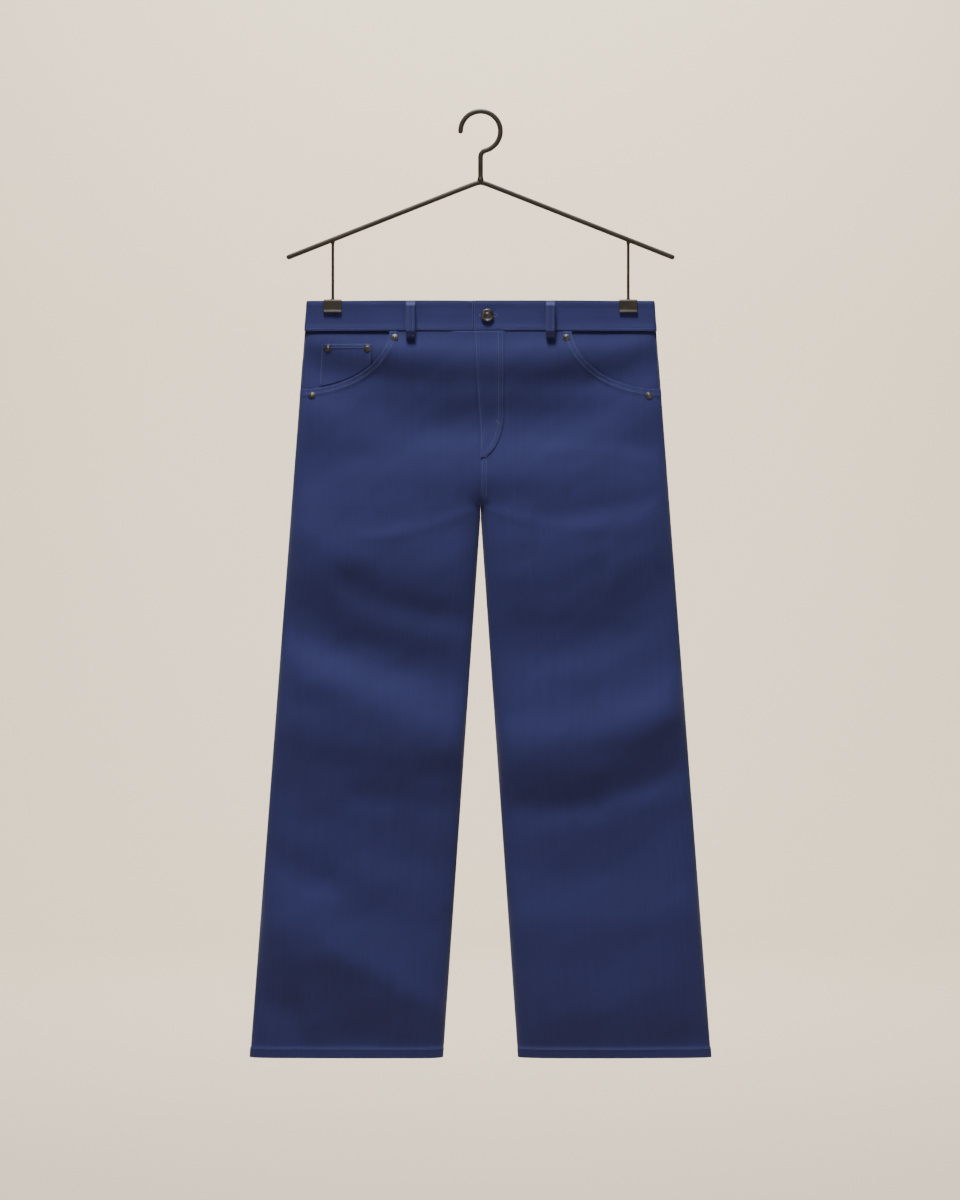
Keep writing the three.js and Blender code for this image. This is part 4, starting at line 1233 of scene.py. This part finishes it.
def rivet(name, x, z, lift):
    """A thin domed cap about a burred nipple."""
    lean = np.linspace(0, math.pi / 2, 6)
    edge = np.stack([RIVET_RADIUS - 0.5 + 0.5 * np.cos(lean), 0.25 + 0.45 * np.sin(lean)], -1)
    cap = [(3.2, 0.84), (2.4, 0.9), (1.9, 0.98)]
    nipple = [(1.65, 1.3), (1.25, 1.58), (0.7, 1.62), (0.4, 1.5), (0, 1.42)]
    profile = np.vstack([[(0, -0.4), (RIVET_RADIUS - 0.1, -0.4)], edge, cap, nipple])
    piece = turned("metal_rivet_" + name, profile, *way_out(x, z, lift), sides=40)
    return finish_piece(piece, METAL, "trim", "rivet_" + name)


button()
for word, sign in SIDES:
    top_x, low_z = SIDE_X - MOUTH_WIDE - RIVET_IN, PANEL_TOP - MOUTH_DEEP - RIVET_DOWN
    rivet("mouth_top_" + word, sign * top_x, PANEL_TOP - RIVET_DOWN, MOUTH_HIGH)
    rivet("mouth_side_" + word, sign * (SIDE_X - SIDE_RIVET_IN), low_z, 0.3)
for word, x in (("outer", RIVET_IN - COIN_EDGES[0]), ("inner", -RIVET_IN - COIN_EDGES[1])):
    rivet("coin_" + word, x, COIN_TOP - COIN_RIVET_DOWN, COIN_OUT + 0.2)


# ---- hanger ----
ARM_SLOPE = (ARM_END_Z - ARM_TOP_Z) / ARM_END_X
CLIP_INNER = PINCHED_HALF + BAND_PROUD + 0.1
CLIP_TOP = WAIST_Z + GAP + CLIP_STRIP


def hook():
    """Three quarters of a ring from its tip, a small bend back to the middle, and the stem."""
    centre = -(HOOK_RADIUS - ROD)
    away = math.acos(HOOK_BEND / (HOOK_RADIUS + HOOK_BEND))
    bend_z = centre - (HOOK_RADIUS + HOOK_BEND) * math.sin(away)
    ring = np.linspace(math.pi, -away, 150)
    curl = np.linspace(math.pi - away, math.pi, 40)[1:]
    stem = np.linspace(bend_z, ARM_TOP_Z + 1.5, 30)[1:]
    x = np.concatenate([HOOK_RADIUS * np.cos(ring), HOOK_BEND * (1 + np.cos(curl)), 0 * stem])
    z = np.concatenate([centre + HOOK_RADIUS * np.sin(ring), bend_z + HOOK_BEND * np.sin(curl), stem])
    radius = ROD + 1.1 * smooth((ARM_TOP_Z + ROD + 4 - z) / 5) * (np.abs(x) < 1)
    piece = tube("steel_hook", x, z, radius, sides=32)
    return finish_piece(piece, STEEL, "steel", "hanger_hook")


def arms():
    """One rod bent at the middle: straight to either side, eased over by the root of x squared
    plus ease squared, its points closer together there."""
    arm, ease, raised = np.linspace(14, ARM_END_X, 60), 4, 2.2
    x = np.concatenate([-arm[::-1], np.linspace(-13, 13, 41), arm])
    z = ARM_TOP_Z + ARM_SLOPE * (np.sqrt(x * x + ease**2) - raised)
    piece = tube("steel_arms", x, z, ROD, sides=32)
    return finish_piece(piece, STEEL, "steel", "hanger_arm_right", "hanger_arm_left")


def clip_rod(name, side):
    """A thin rod from the arm down to the clip, thicker at either end by a smooth step."""
    z = np.linspace(ARM_TOP_Z + ARM_SLOPE * CLIP_X, CLIP_TOP - 0.4, 40)
    from_end = np.minimum(z[0] - ROD - z, z - CLIP_TOP)
    radius = CLIP_ROD + 0.9 * (1 - smooth((from_end + 0.5) / 2.6))
    piece = tube("steel_drop_" + name, side * CLIP_X + 0 * z, z, radius)
    return finish_piece(piece, STEEL, "steel", "clip_rod_" + name)


def clip(name, side):
    """A strip folded over the waistband: down the front, over the top in two quarter rounds, down
    the back, its lips turned out a little by a smooth step and its middle bulging as a cosine."""
    low, bend, lip, bulge = WAIST_Z - CLIP_GRIP, 2.4, 1.3, 0.35
    half = CLIP_INNER + CLIP_STRIP / 2
    top = CLIP_TOP - CLIP_STRIP / 2
    lean = np.linspace(0, math.pi / 2, 12)[1:-1]
    leaf = np.linspace(low, top - bend, 26)
    flare = lip * (1 - smooth((leaf - low) / 4.5))
    round_y, round_z = half - bend + bend * np.cos(lean), top - bend + bend * np.sin(lean)
    over = np.linspace(half - bend, bend - half, 12)
    y = np.concatenate([-(half + flare), -round_y, -over, round_y[::-1], (half + flare)[::-1]])
    z = np.concatenate([leaf, round_z, np.full(12, top), round_z[::-1], leaf[::-1]])
    dy, dz = np.gradient(y), np.gradient(z)
    length = np.hypot(dy, dz)
    x = side * CLIP_X + np.linspace(-0.5, 0.5, 26) * CLIP_WIDTH
    crown = bulge * np.cos((x - side * CLIP_X) / CLIP_WIDTH * math.pi)
    layers = []
    for off in (CLIP_STRIP / 2, -CLIP_STRIP / 2):
        wide = (off - bulge + crown)[None]
        across = y[:, None] - (dz / length)[:, None] * wide
        up = z[:, None] + (dy / length)[:, None] * wide
        layers.append(np.stack([x + 0 * across, across, up], -1))
    piece = wall("steel_clip_" + name, *layers, rounding=0.5)
    return finish_piece(piece, STEEL, "steel", "clip_" + name)


hook()
arms()
for word, sign in SIDES:
    clip_rod(word, sign)
    clip(word, sign)


# ---- room, light and camera ----
def plain(name, colour, roughness):
    """Paint, a little lighter in places."""
    finish = Finish(name)
    grain = finish.noise(finish.place(), 3.0, 2.0)
    lighter = tuple(min(1, c * 1.02) for c in colour[:3]) + (1.0,)
    finish.drive("Base Color", finish.colour(grain, colour, lighter))
    finish.drive("Roughness", roughness + 0.04 * grain)
    return finish.material


def floor_and_cove():
    """A floor well below the hems that sweeps up, far behind, into a wall: a straight, a quarter
    round and a straight, carried sideways."""
    level, back, sweep = -1750, 6400, 2200
    lean = np.linspace(0, math.pi / 2, 40)
    y = np.concatenate([[-7000, 0], back + sweep * np.sin(lean), [back + sweep]])
    z = np.concatenate([[level, level], level + sweep * (1 - np.cos(lean)), [level + 7500]])
    x = np.linspace(-8000, 8000, 9)
    grid = np.stack([x[None] + 0 * y[:, None], y[:, None] + 0 * x, z[:, None] + 0 * x], -1)
    index = np.arange(grid.shape[0] * grid.shape[1]).reshape(grid.shape[:2])
    piece = put("floor_and_cove", grid.reshape(-1, 3), grid_quads(index))
    piece.data.materials.append(plain("pale_paint", shade(226, 213, 192), 0.85))


def lamp(name, place, aim, size, watts, colour):
    """A round soft light at place, turned towards aim."""
    data = bpy.data.lights.new(name, "AREA")
    data.shape, data.size, data.energy, data.color = "DISK", size, watts, colour
    made = bpy.data.objects.new(name, data)
    bpy.context.scene.collection.objects.link(made)
    way = np.array(aim, float) - np.array(place, float)
    made.location = place
    made.rotation_mode = "QUATERNION"
    made.rotation_quaternion = Vector(way).to_track_quat("-Z", "Y")
    made.visible_camera = False


floor_and_cove()
lamp("key", (-0.3, -1.25, 3.0), (0, 0, -0.75), 0.9, 330, (1.0, 0.985, 0.96))
lamp("fill", (2.6, -3.6, 0.2), (0, 0, -0.8), 2.4, 18, (0.95, 0.97, 1.0))
lamp("behind", (0.35, 1.45, 2.9), (0, 0, -0.75), 0.9, 130, (1.0, 0.985, 0.96))
lamp("cove", (0, 3.4, 3.6), (0, 8.4, 1.8), 3.0, 820, (1.0, 0.965, 0.9))
world = bpy.data.worlds.new("pale_room")
world.use_nodes = True
sky = next(n for n in world.node_tree.nodes if n.type == "BACKGROUND")
sky.inputs["Color"].default_value = (0.86, 0.84, 0.81, 1)
sky.inputs["Strength"].default_value = 0.14
bpy.context.scene.world = world

camera = bpy.data.cameras.new("camera")
camera.lens, camera.sensor_width = 100, 36
camera_stand = bpy.data.objects.new("camera", camera)
camera_stand.location = (-0.0007, -4.4, -0.6418)
camera_stand.rotation_euler = (math.pi / 2, 0, 0)
bpy.context.scene.collection.objects.link(camera_stand)
bpy.context.scene.camera = camera_stand
